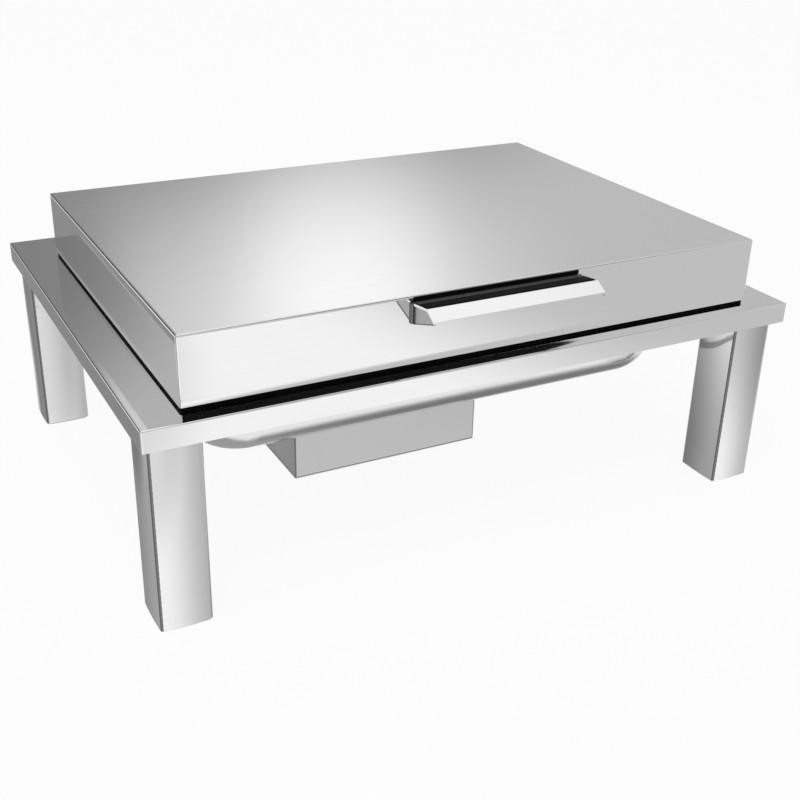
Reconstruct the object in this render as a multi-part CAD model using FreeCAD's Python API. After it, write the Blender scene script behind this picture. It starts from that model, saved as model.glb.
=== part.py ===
import FreeCAD, Part
import math
import os

# Rectangular chafing dish with a flat hinged lid, a four-legged stand and an electric heater box.
# Millimetres. +X is the operator's right, +Y the rear, +Z up.
# The origin lies on the table, midway between the handle's nose and the stand's rear face.

Vector = FreeCAD.Vector
UP = Vector(0, 0, 1)
RIGHT = Vector(1, 0, 0)
REAR = Vector(0, 1, 0)

# Shared by every sheet and fastener
screw_hole_gap = 0.15
screw_crown_share = 0.35
screw_socket_flats_share = 1.3
screw_socket_depth_share = 0.6
thread_beyond_nut = 1.0
least_bend_radius = 0.3
edge_match = 0.01

# Lid
lid_width = 560.0
lid_depth = 410.0
lid_height = 60.0
lid_sheet = 1.2
lid_edge_radius = 2.0
seal_height = 3.0
seal_width = 8.0
seal_inset = 1.5
drip_rim_height = 14.0
drip_rim_flange = 10.0
drip_rim_sheet = 1.0

# Stand top
stand_height = 190.0
stand_side_margin = 37.0
stand_front_margin = 19.0
stand_rear_margin = 51.0
skirt_height = 19.0
stand_sheet = 1.5
stand_edge_radius = 1.5
collar_depth = 12.0
collar_gap = 1.0

# Legs and feet
leg_width = 45.0
leg_depth = 50.0
leg_wall = 1.5
leg_bow = 0.8
leg_bend_radius = 6.0
leg_seam_radius = 1.6
leg_side_inset = 6.5
leg_end_inset = 9.5
leg_cap_sheet = 3.0
foot_lift = 1.0
foot_inset = 1.2
foot_plug_height = 12.0
foot_plug_gap = 0.2
corner_plate_sheet = 3.0
corner_plate_length = 84.0
corner_plate_width = 74.0
leg_stud_radius = 4.0
leg_stud_reach = 17.0
leg_stud_gap = 0.3
leg_nut_flats = 13.0
leg_nut_height = 6.5
leg_washer_radius = 8.0
leg_washer_sheet = 1.6

# Food pan, full gastronorm size
food_pan_length = 530.0
food_pan_width = 325.0
food_pan_depth = 65.0
food_pan_sheet = 0.8
food_pan_rim = 12.5
food_pan_corner = 58.0
food_pan_floor_radius = 22.0
food_pan_neck_radius = 3.5
pan_draft = 8.0

# Water pan
pan_gap = 4.0
water_pan_sheet = 1.0
water_pan_depth = 93.0
water_pan_rim = 10.0
water_pan_floor_radius = 39.0
water_pan_neck_radius = 2.5

# Handle
handle_length = 165.0
handle_top_reach = 26.0
handle_top_rise = 3.5
handle_lip_reach = 12.0
handle_lip_drop = 7.0
handle_flange_height = 18.0
handle_sheet = 2.0
handle_top_drop = 5.5
handle_end_sheet = 2.5
handle_end_inset = 1.0
handle_bend_radius = 1.2
handle_screw_radius = 2.0
handle_screw_spacing = 60.0
handle_screw_head_radius = 3.8
handle_screw_head_height = 2.4
handle_nut_flats = 7.0
handle_nut_height = 3.2
handle_screw_drop = 10.0

# Hinges
hinge_spacing = 380.0
pivot_behind_lid = 12.0
pivot_above_stand = 14.0
pin_radius = 4.0
pin_running_gap = 0.05
pin_head_radius = 6.5
pin_head_height = 2.0
pin_tail = 2.5
clip_sheet = 1.0
bush_wall = 2.0
knuckle_wall = 2.0
knuckle_length = 24.0
ear_sheet = 4.0
ear_opening = 52.0
ear_radius = 9.0
bracket_base_sheet = 3.0
bracket_depth = 36.0
stop_sheet = 4.0
stop_gap = 0.3
leaf_sheet = 3.0
leaf_width = 36.0
leaf_height = 40.0
leaf_web_drop = 4.0
leaf_screw_radius = 2.0
leaf_screw_spacing_x = 22.0
leaf_screw_spacing_z = 18.0
leaf_screw_head_radius = 3.8
leaf_screw_head_height = 2.4
damper_radius = 8.5
spacer_radius = 6.5
knuckle_side_gap = 0.5
bracket_screw_radius = 2.5
bracket_screw_spacing = 32.0
bracket_screw_set_back = 15.0
bracket_screw_head_radius = 4.6
bracket_screw_head_height = 3.0
bracket_nut_flats = 8.0
bracket_nut_height = 4.0
leaf_screw_rise = 4.0

# Heater box
heater_offset = -51.5
heater_width = 190.0
heater_height = 49.0
heater_setback = 1.0
control_space = 66.0
heater_sheet = 1.2
heater_edge_radius = 1.0
heater_top_flange = 13.0
heater_foot_flange = 9.0
base_screw_radius = 1.5
base_screw_head_radius = 2.8
base_screw_head_height = 1.6
base_screw_length = 5.0
base_screw_inset = 5.5
vent_count = 6
vent_length = 60.0
vent_width = 3.0
vent_end_radius = 1.4
vent_pitch = 9.0

# Heater inside
plate_side_gap = 19.0
plate_length = 138.0
plate_sheet = 8.0
plate_front_gap = 8.0
element_radius = 3.3
element_pass_spacing = 32.0
element_end_inset = 27.0
element_tail = 20.0
element_bend_gap = 1.0
clamp_sheet = 1.5
clamp_inset = 10.0
clamp_screw_radius = 2.0
clamp_screw_end_inset = 39.0
clamp_screw_head_radius = 3.5
clamp_screw_head_height = 2.0
insulation_sheet = 12.0
support_sheet = 1.5
support_width = 16.0
support_end_inset = 24.0
pan_stud_radius = 2.5
pan_stud_inset = 7.5
pan_stud_tail = 3.0
pan_nut_flats = 8.0
pan_nut_height = 4.0
plate_corner = 6.0
bulb_edge_distance = 12.0
support_end_gap = 1.0

# Controls on the heater's rear panel, across from its middle
control_height = 24.0
panel_hole_gap = 0.3
inlet_edge_distance = 43.0
inlet_flange_width = 48.0
inlet_flange_height = 24.0
inlet_flange_sheet = 3.0
inlet_flange_corner = 4.0
inlet_body_width = 27.0
inlet_body_height = 20.0
inlet_body_depth = 21.0
inlet_mouth_width = 24.0
inlet_mouth_height = 16.5
inlet_mouth_depth = 16.0
inlet_pin_length = 11.0
inlet_pin_width = 4.0
inlet_pin_sheet = 2.0
inlet_pin_spacing = 7.0
inlet_pin_tail = 9.0
inlet_pin_rise = 2.0
inlet_screw_spacing = 40.0
inlet_screw_radius = 1.5
inlet_screw_head_radius = 2.8
inlet_screw_head_height = 1.8
inlet_nut_flats = 5.5
inlet_nut_height = 2.4
switch_place = -8.0
switch_flange_width = 15.0
switch_flange_height = 21.0
switch_flange_sheet = 1.6
switch_body_width = 13.4
switch_body_height = 19.4
switch_body_depth = 14.0
switch_well_depth = 9.0
switch_well_wall = 0.9
switch_well_end_wall = 0.6
rocker_side_gap = 0.4
rocker_half_height = 8.0
rocker_crown = 4.2
rocker_dish = 2.4
rocker_back = 2.2
rocker_pivot_depth = 2.0
rocker_trunnion_radius = 1.2
rocker_trunnion_length = 0.8
rocker_trunnion_end_gap = 0.05
rocker_tilt = 9.0
tab_length = 8.0
tab_width = 4.0
tab_sheet = 0.8
switch_tab_spacing = 10.0
lamp_place = 14.0
lamp_lens_radius = 4.8
lamp_lens_height = 2.6
lamp_dome_radius = 2.1
lamp_body_radius = 3.9
lamp_body_length = 14.0
lamp_hole_gap = 0.2
knob_edge_distance = 47.0
knob_radius = 16.0
knob_height = 15.0
knob_skirt_radius = 18.0
knob_skirt_height = 3.0
knob_grip_count = 16
knob_grip_radius = 1.1
knob_panel_gap = 1.0
knob_edge_radius = 1.2
knob_bore_depth = 10.5
knob_pointer_start = 5.6
knob_pointer_width = 1.6
knob_pointer_depth = 0.8
spindle_radius = 3.0
spindle_running_gap = 0.05
spindle_hole_gap = 0.6
spindle_engagement = 10.0
thermostat_width = 30.0
thermostat_height = 28.0
thermostat_depth = 20.0
thermostat_bore_depth = 12.0
thermostat_tab_spacing = 12.0
bulb_radius = 3.0
bulb_length = 40.0
lead_radius = 1.2
lead_bend = 4.5
lead_exit = 8.5
capillary_radius = 0.8
capillary_side = 10.0
capillary_rise = 9.0

# Places worked out from the sizes above
stand_width = lid_width + 2 * stand_side_margin
stand_depth = lid_depth + stand_front_margin + stand_rear_margin
handle_overhang = handle_top_reach + handle_lip_reach - stand_front_margin
stand_front_y = handle_overhang - (stand_depth + handle_overhang) / 2
stand_rear_y = stand_front_y + stand_depth
lid_front_y = stand_front_y + stand_front_margin
lid_rear_y = lid_front_y + lid_depth
lid_middle_y = (lid_front_y + lid_rear_y) / 2
lid_base_z = stand_height + seal_height
lid_top_z = lid_base_z + lid_height
skirt_base_z = stand_height - skirt_height
water_rim_z = stand_height + water_pan_sheet
food_rim_z = water_rim_z + food_pan_sheet
pan_middle_y = lid_middle_y
food_body_length = food_pan_length - 2 * food_pan_rim
food_body_width = food_pan_width - 2 * food_pan_rim
water_body_length = food_body_length + 2 * (pan_gap + water_pan_sheet)
water_body_width = food_body_width + 2 * (pan_gap + water_pan_sheet)
water_pan_corner = food_pan_corner + pan_gap + water_pan_sheet
water_floor_z = water_rim_z - water_pan_depth
pan_draw_in = water_pan_depth * math.tan(math.radians(pan_draft))
pan_floor_turn = water_pan_floor_radius * math.tan(math.radians(90 - pan_draft) / 2)
pan_flat_front_y = pan_middle_y - water_body_width / 2 + pan_draw_in + pan_floor_turn
pivot_y = lid_rear_y + pivot_behind_lid
pivot_z = stand_height + pivot_above_stand
knuckle_radius = pin_radius + pin_running_gap + bush_wall + knuckle_wall
heater_left_x = heater_offset - heater_width / 2
heater_right_x = heater_offset + heater_width / 2
heater_depth = 2 * heater_sheet + plate_front_gap + plate_length + control_space
heater_front_y = pan_flat_front_y + heater_setback
heater_rear_y = heater_front_y + heater_depth
heater_middle_y = (heater_front_y + heater_rear_y) / 2
heater_top_z = water_floor_z
heater_base_z = heater_top_z - heater_height
plate_width = heater_width - 2 * plate_side_gap
plate_front_y = heater_front_y + heater_sheet + plate_front_gap
plate_middle_y = plate_front_y + plate_length / 2
plate_rear_y = plate_front_y + plate_length
plate_base_z = heater_top_z - plate_sheet
clamp_top_z = plate_base_z - 2 * element_radius
clamp_base_z = clamp_top_z - clamp_sheet
clamp_width = plate_width - 2 * clamp_inset
clamp_length = plate_length - 2 * clamp_inset
insulation_base_z = clamp_base_z - insulation_sheet
support_base_z = insulation_base_z - support_sheet
support_spacing = plate_length - 2 * support_end_inset
control_z = heater_base_z + control_height
panel_inner_y = heater_rear_y - heater_sheet
rocker_pivot_y = heater_rear_y + switch_flange_sheet - rocker_pivot_depth
inlet_x = heater_left_x + inlet_edge_distance
switch_x = heater_offset + switch_place
lamp_x = heater_offset + lamp_place
knob_x = heater_right_x - knob_edge_distance
bulb_x = heater_offset + plate_width / 2 - bulb_edge_distance
inlet_tail_y = panel_inner_y - inlet_body_depth - inlet_pin_tail
well_width = switch_body_width - 2 * switch_well_wall
rocker_half_width = well_width / 2 - rocker_side_gap


def block(x_low, x_high, y_low, y_high, z_low, z_high):
    """Return a box between two corners."""
    corner = Vector(x_low, y_low, z_low)
    return Part.makeBox(x_high - x_low, y_high - y_low, z_high - z_low, corner)


def wide_block(middle_x, width, y_low, y_high, z_low, z_high):
    """Return a box centred on a place across the dish."""
    return block(middle_x - width / 2, middle_x + width / 2, y_low, y_high, z_low, z_high)


def centred_block(middle_x, middle_y, width, depth, z_low, z_high):
    """Return a box centred on a place in plan."""
    return wide_block(middle_x, width, middle_y - depth / 2, middle_y + depth / 2, z_low, z_high)


def rod(radius, start, end):
    """Return a cylinder from one point to another."""
    direction = end - start
    return Part.makeCylinder(radius, direction.Length, start, direction)


def rod_along_x(radius, x_low, x_high, y, z):
    """Return a cylinder that runs left to right."""
    return rod(radius, Vector(x_low, y, z), Vector(x_high, y, z))


def rod_along_y(radius, x, y_low, y_high, z):
    """Return a cylinder that runs front to rear."""
    return rod(radius, Vector(x, y_low, z), Vector(x, y_high, z))


def rod_along_z(radius, x, y, z_low, z_high):
    """Return an upright cylinder."""
    return rod(radius, Vector(x, y, z_low), Vector(x, y, z_high))


def rounded_outline(length, width, radius, middle_x, middle_y, z):
    """Return a level rectangle with rounded corners as a wire."""
    half_length = length / 2
    half_width = width / 2
    edges = []
    previous = None
    first = None
    for turn in range(4):
        angle = math.radians(90 * turn)
        sign_x = (1, -1, -1, 1)[turn]
        sign_y = (1, 1, -1, -1)[turn]
        corner_x = middle_x + sign_x * (half_length - radius)
        corner_y = middle_y + sign_y * (half_width - radius)
        arc_points = []
        for part in (0, 0.5, 1):
            at = angle + part * math.pi / 2
            arc_points.append(Vector(corner_x + radius * math.cos(at), corner_y + radius * math.sin(at), z))
        if previous is not None:
            edges.append(Part.makeLine(previous, arc_points[0]))
        else:
            first = arc_points[0]
        edges.append(Part.Arc(*arc_points).toShape())
        previous = arc_points[2]
    edges.append(Part.makeLine(previous, first))
    return Part.Wire(edges)


def rounded_slab(length, width, radius, middle_x, middle_y, z_low, z_high):
    """Return an upright prism on a rounded rectangle."""
    outline = rounded_outline(length, width, radius, middle_x, middle_y, z_low)
    return Part.Face(outline).extrude(UP * (z_high - z_low))


def side_profile(points, x_low, x_high):
    """Return a prism that runs along X from (y, z) corners."""
    corners = [Vector(x_low, y, z) for y, z in points]
    corners.append(corners[0])
    return Part.Face(Part.makePolygon(corners)).extrude(RIGHT * (x_high - x_low))


def hexagon(across_flats, base, direction, height):
    """Return a hexagonal prism that starts at base and grows along direction."""
    prism = Part.Face(hexagon_wire(across_flats)).extrude(UP * height)
    prism.Placement = FreeCAD.Placement(base, FreeCAD.Rotation(UP, direction))
    return prism


def hexagon_wire(across_flats):
    """Return a level hexagon round the origin."""
    corner_radius = across_flats / math.sqrt(3)
    corners = []
    for index in range(7):
        angle = math.radians(60 * index)
        corners.append(Vector(corner_radius * math.cos(angle), corner_radius * math.sin(angle), 0))
    return Part.makePolygon(corners)


def nut(across_flats, height, bore_radius, base, direction):
    """Return a hexagon nut that sits on base and grows along direction."""
    body = hexagon(across_flats, base, direction, height)
    bore = Part.makeCylinder(bore_radius, height, base, direction)
    return body.cut(bore)


def washer(outer_radius, inner_radius, sheet, base, direction):
    """Return a flat ring that sits on base and grows along direction."""
    disc = Part.makeCylinder(outer_radius, sheet, base, direction)
    return disc.cut(Part.makeCylinder(inner_radius, sheet, base, direction))


def screw(shank_radius, shank_length, head_radius, head_height, seat, direction):
    """Return a socket pan head screw: its head sits on seat and its shank runs along direction."""
    head = Part.makeCylinder(head_radius, head_height, seat, direction * -1)
    crown_z = seat - direction * head_height
    crown = [edge for edge in head.Edges if edge.CenterOfMass.isEqual(crown_z, edge_match)]
    head = head.makeFillet(head_height * screw_crown_share, crown)
    shank = Part.makeCylinder(shank_radius, shank_length, seat, direction)
    socket_depth = head_height * screw_socket_depth_share
    socket = hexagon(shank_radius * screw_socket_flats_share, crown_z, direction, socket_depth)
    return head.fuse(shank).cut(socket).removeSplitter()


def group(shapes):
    """Return separate solids as one compound."""
    return Part.makeCompound(list(shapes))


def spread(spacing):
    """Return the two places either side of a middle."""
    return (-spacing / 2, spacing / 2)


def one_solid(shape):
    """Return the only solid of a shape."""
    if len(shape.Solids) != 1:
        raise ValueError("expected one solid, found %d" % len(shape.Solids))
    return shape.Solids[0]


def edges_at(shape, level_z):
    """Return the edges that lie wholly in a level plane."""
    found = []
    for edge in shape.Edges:
        box = edge.BoundBox
        if abs(box.ZMin - level_z) < edge_match and abs(box.ZMax - level_z) < edge_match:
            found.append(edge)
    return found


def upright_edges(shape):
    """Return the straight edges that stand upright."""
    found = []
    for edge in shape.Edges:
        box = edge.BoundBox
        if box.XLength < edge_match and box.YLength < edge_match:
            found.append(edge)
    return found


def tub(length, width, corner, floor_radius, rim_z, floor_z):
    """Return the solid inside of a deep drawn pan, with drafted walls and a rounded floor."""
    draw_in = (rim_z - floor_z) * math.tan(math.radians(pan_draft))
    top = rounded_outline(length, width, corner, 0, pan_middle_y, rim_z)
    floor_length = length - 2 * draw_in
    floor_width = width - 2 * draw_in
    floor = rounded_outline(floor_length, floor_width, corner - draw_in, 0, pan_middle_y, floor_z)
    body = Part.makeLoft([floor, top], True, True)
    return body.makeFillet(floor_radius, edges_at(body, floor_z))


def drawn_pan(length, width, corner, floor_radius, rim, neck_radius, sheet, rim_z, depth):
    """Return a drawn pan of even sheet with a flat rim and rounded neck."""
    rim_base_z = rim_z - sheet
    outer = tub(length, width, corner, floor_radius, rim_z, rim_z - depth)
    plate = rounded_slab(length + 2 * rim, width + 2 * rim, corner + rim, 0, pan_middle_y,
                         rim_base_z, rim_z)
    skin = outer.fuse(plate).removeSplitter()
    neck = [edge for edge in edges_at(skin, rim_base_z) if is_inside_rim(edge, length, width, rim)]
    skin = skin.makeFillet(neck_radius, neck)
    draw = sheet / math.cos(math.radians(pan_draft))
    inner_length = length - 2 * draw
    inner_width = width - 2 * draw
    inner_floor_z = rim_z - depth + sheet
    inner = tub(inner_length, inner_width, corner - draw, floor_radius - sheet, rim_z, inner_floor_z)
    shell = skin.cut(inner)
    mouth = [edge for edge in edges_at(shell, rim_z) if is_inside_rim(edge, length, width, rim)]
    return one_solid(shell.makeFillet(neck_radius + sheet, mouth))


def is_inside_rim(edge, length, width, rim):
    """Tell whether a level edge belongs to the pan's mouth and not to its rim's outside."""
    box = edge.BoundBox
    reach_x = max(abs(box.XMin), abs(box.XMax))
    reach_y = max(abs(box.YMin - pan_middle_y), abs(box.YMax - pan_middle_y))
    return reach_x < length / 2 + rim / 2 and reach_y < width / 2 + rim / 2


# Stand

def leg_corners():
    """Return the front left bottom corner of each leg by name."""
    left = -stand_width / 2 + leg_side_inset
    right = stand_width / 2 - leg_side_inset - leg_width
    front = stand_front_y + leg_end_inset
    rear = stand_rear_y - leg_end_inset - leg_depth
    return {
        "front_left": (left, front),
        "front_right": (right, front),
        "rear_left": (left, rear),
        "rear_right": (right, rear),
    }


def bowed_prism(x_low, y_low, width, depth, bow, z_low, z_high, bend_radius, seam_radius):
    """Return an upright bar with four slightly crowned sides, bent corners and one sharp seam corner."""
    x_high = x_low + width
    y_high = y_low + depth
    middle_x = (x_low + x_high) / 2
    middle_y = (y_low + y_high) / 2
    corners = [(x_low, y_low), (x_high, y_low), (x_high, y_high), (x_low, y_high)]
    crowns = [
        (middle_x, y_low - bow),
        (x_high + bow, middle_y),
        (middle_x, y_high + bow),
        (x_low - bow, middle_y),
    ]
    edges = []
    for index in range(4):
        start = Vector(*corners[index], z_low)
        crown = Vector(*crowns[index], z_low)
        end = Vector(*corners[(index + 1) % 4], z_low)
        edges.append(Part.Arc(start, crown, end).toShape())
    bar = Part.Face(Part.Wire(edges)).extrude(UP * (z_high - z_low))
    seam = Vector(x_low, y_low, (z_low + z_high) / 2)
    bends = [edge for edge in upright_edges(bar) if not edge.CenterOfMass.isEqual(seam, edge_match)]
    bar = bar.makeFillet(bend_radius, bends)
    seams = [edge for edge in upright_edges(bar) if edge.CenterOfMass.isEqual(seam, edge_match)]
    return bar.makeFillet(seam_radius, seams)


def inset_leg_prism(x_low, y_low, inset, z_low, z_high):
    """Return a bar with the leg's section, drawn in by inset on each side."""
    width = leg_width - 2 * inset
    depth = leg_depth - 2 * inset
    return bowed_prism(x_low + inset, y_low + inset, width, depth, leg_bow, z_low, z_high,
                       leg_bend_radius - inset, leg_seam_radius)


def leg(x_low, y_low):
    """Return one folded box leg with its welded cap plate and stud hole."""
    outside = inset_leg_prism(x_low, y_low, 0, foot_lift, skirt_base_z)
    cap_base_z = skirt_base_z - leg_cap_sheet
    hollow = inset_leg_prism(x_low, y_low, leg_wall, foot_lift, cap_base_z)
    middle_x = x_low + leg_width / 2
    middle_y = y_low + leg_depth / 2
    hole = rod_along_z(leg_stud_radius + leg_stud_gap, middle_x, middle_y, cap_base_z, skirt_base_z)
    return one_solid(outside.cut(hollow).cut(hole))


def foot(x_low, y_low):
    """Return one rubber foot: a thin pad under the leg's wall and a plug inside it."""
    pad = inset_leg_prism(x_low, y_low, foot_inset, 0, foot_lift)
    plug = inset_leg_prism(x_low, y_low, leg_wall + foot_plug_gap, foot_lift, foot_lift + foot_plug_height)
    return one_solid(pad.fuse(plug))


def leg_middles():
    """Return the middle of each leg in plan."""
    return [(x_low + leg_width / 2, y_low + leg_depth / 2) for x_low, y_low in leg_corners().values()]


def stand_top():
    """Return the folded stand top: a tray turned upside down with a collared opening for the pan."""
    half_width = stand_width / 2
    outside = block(-half_width, half_width, stand_front_y, stand_rear_y, skirt_base_z, stand_height)
    rounded = upright_edges(outside) + edges_at(outside, stand_height)
    outside = outside.makeFillet(stand_edge_radius, rounded)
    inside = block(-half_width + stand_sheet, half_width - stand_sheet, stand_front_y + stand_sheet,
                   stand_rear_y - stand_sheet, skirt_base_z, stand_height - stand_sheet)
    margin = water_pan_neck_radius + collar_gap
    opening_length = water_body_length + 2 * margin
    opening_width = water_body_width + 2 * margin
    opening_corner = water_pan_corner + margin
    collar = rounded_slab(opening_length + 2 * stand_sheet, opening_width + 2 * stand_sheet,
                          opening_corner + stand_sheet, 0, pan_middle_y, stand_height - collar_depth,
                          stand_height - stand_sheet)
    opening = rounded_slab(opening_length, opening_width, opening_corner, 0, pan_middle_y,
                           skirt_base_z, stand_height)
    tray = outside.cut(inside).fuse(collar).cut(opening)
    hole_radius = bracket_screw_radius + screw_hole_gap
    holes = [rod_along_z(hole_radius, x, y, skirt_base_z, stand_height) for x, y in bracket_screw_places()]
    return one_solid(tray.cut(holes).removeSplitter())


def corner_plates():
    """Return the four plates welded inside the skirt's corners, which carry the leg studs."""
    plates = []
    reach_x = stand_width / 2 - stand_sheet
    top_z = skirt_base_z + corner_plate_sheet
    for x, y in leg_middles():
        x_low = reach_x - corner_plate_width if x > 0 else -reach_x
        y_low = stand_rear_y - stand_sheet - corner_plate_length if y > 0 else stand_front_y + stand_sheet
        x_high = x_low + corner_plate_width
        y_high = y_low + corner_plate_length
        plate = block(x_low, x_high, y_low, y_high, skirt_base_z, top_z)
        plates.append(plate.cut(rod_along_z(leg_stud_radius, x, y, skirt_base_z, top_z)))
    return group(plates)


def leg_studs():
    """Return the four weld studs that hang from the corner plates into the legs."""
    top_z = skirt_base_z + corner_plate_sheet
    return group(rod_along_z(leg_stud_radius, x, y, skirt_base_z - leg_stud_reach, top_z)
                 for x, y in leg_middles())


def leg_washers():
    """Return the washers under the leg nuts."""
    seat_z = skirt_base_z - leg_cap_sheet
    return group(washer(leg_washer_radius, leg_stud_radius, leg_washer_sheet, Vector(x, y, seat_z), UP * -1)
                 for x, y in leg_middles())


def leg_nuts():
    """Return the nuts that pull the legs up to the corner plates."""
    seat_z = skirt_base_z - leg_cap_sheet - leg_washer_sheet
    return group(nut(leg_nut_flats, leg_nut_height, leg_stud_radius, Vector(x, y, seat_z), UP * -1)
                 for x, y in leg_middles())


# Pans

def food_pan():
    """Return the gastronorm food pan that hangs in the water pan."""
    return drawn_pan(food_body_length, food_body_width, food_pan_corner, food_pan_floor_radius,
                     food_pan_rim, food_pan_neck_radius, food_pan_sheet, food_rim_z, food_pan_depth)


def water_pan():
    """Return the water pan whose rim lies on the stand top round the opening."""
    return drawn_pan(water_body_length, water_body_width, water_pan_corner, water_pan_floor_radius,
                     water_pan_rim, water_pan_neck_radius, water_pan_sheet, water_rim_z, water_pan_depth)


# Lid

def lid_shell():
    """Return the flat box lid, open below, with holes for the handle and hinge screws."""
    half_width = lid_width / 2
    outside = block(-half_width, half_width, lid_front_y, lid_rear_y, lid_base_z, lid_top_z)
    outside = outside.makeFillet(lid_edge_radius, upright_edges(outside) + edges_at(outside, lid_top_z))
    inner_radius = max(lid_edge_radius - lid_sheet, least_bend_radius)
    front = lid_front_y + lid_sheet
    rear = lid_rear_y - lid_sheet
    ceiling = lid_top_z - lid_sheet
    inside = block(-half_width + lid_sheet, half_width - lid_sheet, front, rear, lid_base_z, ceiling)
    inside = inside.makeFillet(inner_radius, upright_edges(inside) + edges_at(inside, ceiling))
    holes = [rod_along_y(handle_screw_radius + screw_hole_gap, x, lid_front_y, front, z)
             for x, z in handle_screw_places()]
    holes += [rod_along_y(leaf_screw_radius + screw_hole_gap, x, rear, lid_rear_y, z)
              for x, z in leaf_screw_places()]
    return one_solid(outside.cut(inside).cut(holes))


def lid_seal():
    """Return the silicone seal between the lid's foot and the stand top."""
    length = lid_width - 2 * seal_inset
    width = lid_depth - 2 * seal_inset
    ring = rounded_slab(length, width, lid_edge_radius, 0, lid_middle_y, stand_height, lid_base_z)
    hole = rounded_slab(length - 2 * seal_width, width - 2 * seal_width, lid_edge_radius, 0, lid_middle_y,
                        stand_height, lid_base_z)
    return one_solid(ring.cut(hole))


def lid_drip_rim():
    """Return the angled rim inside the lid's foot, which stiffens it and turns drops back to the pan."""
    length = lid_width - 2 * lid_sheet
    width = lid_depth - 2 * lid_sheet
    radius = max(lid_edge_radius - lid_sheet, least_bend_radius)
    wall_z = lid_base_z + drip_rim_height
    flange_z = lid_base_z + drip_rim_sheet
    body = rounded_slab(length, width, radius, 0, lid_middle_y, lid_base_z, wall_z)
    above = rounded_slab(length - 2 * drip_rim_sheet, width - 2 * drip_rim_sheet, radius, 0, lid_middle_y,
                         flange_z, wall_z)
    opening = rounded_slab(length - 2 * drip_rim_flange, width - 2 * drip_rim_flange, radius, 0,
                           lid_middle_y, lid_base_z, wall_z)
    return one_solid(body.cut(above).cut(opening))


# Handle

def handle_screw_places():
    """Return the x and z of each handle screw."""
    screw_z = lid_top_z - handle_top_drop - handle_screw_drop
    return [(x, screw_z) for x in (-handle_screw_spacing, 0, handle_screw_spacing)]


def grip_lines():
    """Return the grip's outer and inner line in y and z, each from the lid over the bend to the nose."""
    rise = handle_top_rise / handle_top_reach
    fall = handle_lip_drop / handle_lip_reach
    top_shift = handle_sheet * math.hypot(1, rise)
    lip_shift = handle_sheet * math.hypot(1, fall)
    root_z = lid_top_z - handle_top_drop
    bend_y = lid_front_y - handle_top_reach
    bend_z = root_z + handle_top_rise
    nose_y = bend_y - handle_lip_reach
    nose_z = bend_z - handle_lip_drop
    bend_back = (lip_shift - top_shift) / (rise + fall)
    inner_root = (lid_front_y - handle_sheet, root_z + rise * handle_sheet - top_shift)
    inner_bend = (bend_y + bend_back, bend_z - rise * bend_back - top_shift)
    outer = [(lid_front_y, root_z), (bend_y, bend_z), (nose_y, nose_z)]
    inner = [inner_root, inner_bend, (nose_y, nose_z - lip_shift)]
    return outer, inner


def flange_foot_z():
    """Return the height of the lower edge of the grip's flange."""
    return lid_top_z - handle_top_drop - handle_flange_height


def handle_grip():
    """Return the folded grip: a flange on the lid, a top that rises outwards and a lip that leans down."""
    outer, inner = grip_lines()
    foot_z = flange_foot_z()
    outline = [(lid_front_y, foot_z)] + outer + inner[::-1] + [(lid_front_y - handle_sheet, foot_z)]
    grip = side_profile(outline, -handle_length / 2, handle_length / 2)
    bend_middle = Vector(0, *outer[1])
    bends = [edge for edge in grip.Edges if edge.CenterOfMass.isEqual(bend_middle, edge_match)]
    grip = grip.makeFillet(handle_bend_radius, bends)
    for x, z in handle_screw_places():
        hole_radius = handle_screw_radius + screw_hole_gap
        grip = grip.cut(rod_along_y(hole_radius, x, lid_front_y - handle_sheet, lid_front_y, z))
    return one_solid(grip)


def handle_end(side):
    """Return the plate that closes one end of the grip's hollow."""
    outline = [(lid_front_y - handle_sheet, flange_foot_z())] + grip_lines()[1]
    outer_x = handle_length / 2 - handle_end_inset
    low = min(side * outer_x, side * (outer_x - handle_end_sheet))
    return one_solid(side_profile(outline, low, low + handle_end_sheet))


def handle_screws():
    """Return the screws whose heads sit inside the lid and hold the grip's flange."""
    reach = lid_sheet + handle_sheet + handle_nut_height + thread_beyond_nut
    screws = []
    for x, z in handle_screw_places():
        seat = Vector(x, lid_front_y + lid_sheet, z)
        screws.append(screw(handle_screw_radius, reach, handle_screw_head_radius,
                            handle_screw_head_height, seat, REAR * -1))
    return group(screws)


def handle_nuts():
    """Return the nuts in the grip's hollow."""
    nuts = []
    for x, z in handle_screw_places():
        base = Vector(x, lid_front_y - handle_sheet, z)
        nuts.append(nut(handle_nut_flats, handle_nut_height, handle_screw_radius, base, REAR * -1))
    return group(nuts)


# Hinges

def hinge_middle(side):
    """Return the x of the left (-1) or right (1) hinge's middle."""
    return side * hinge_spacing / 2


def leaf_screw_places():
    """Return the x and z of each screw that holds a hinge leaf to the lid's rear wall."""
    middle_z = pivot_z + leaf_height / 2 + leaf_screw_rise
    places = []
    for side in (-1, 1):
        for step_x in spread(leaf_screw_spacing_x):
            for step_z in spread(leaf_screw_spacing_z):
                places.append((hinge_middle(side) + step_x, middle_z + step_z))
    return places


def bracket_screw_places():
    """Return the x and y of each screw that holds a hinge bracket to the stand top."""
    return [(hinge_middle(side) + step, pivot_y + bracket_screw_set_back)
            for side in (-1, 1) for step in spread(bracket_screw_spacing)]


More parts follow.
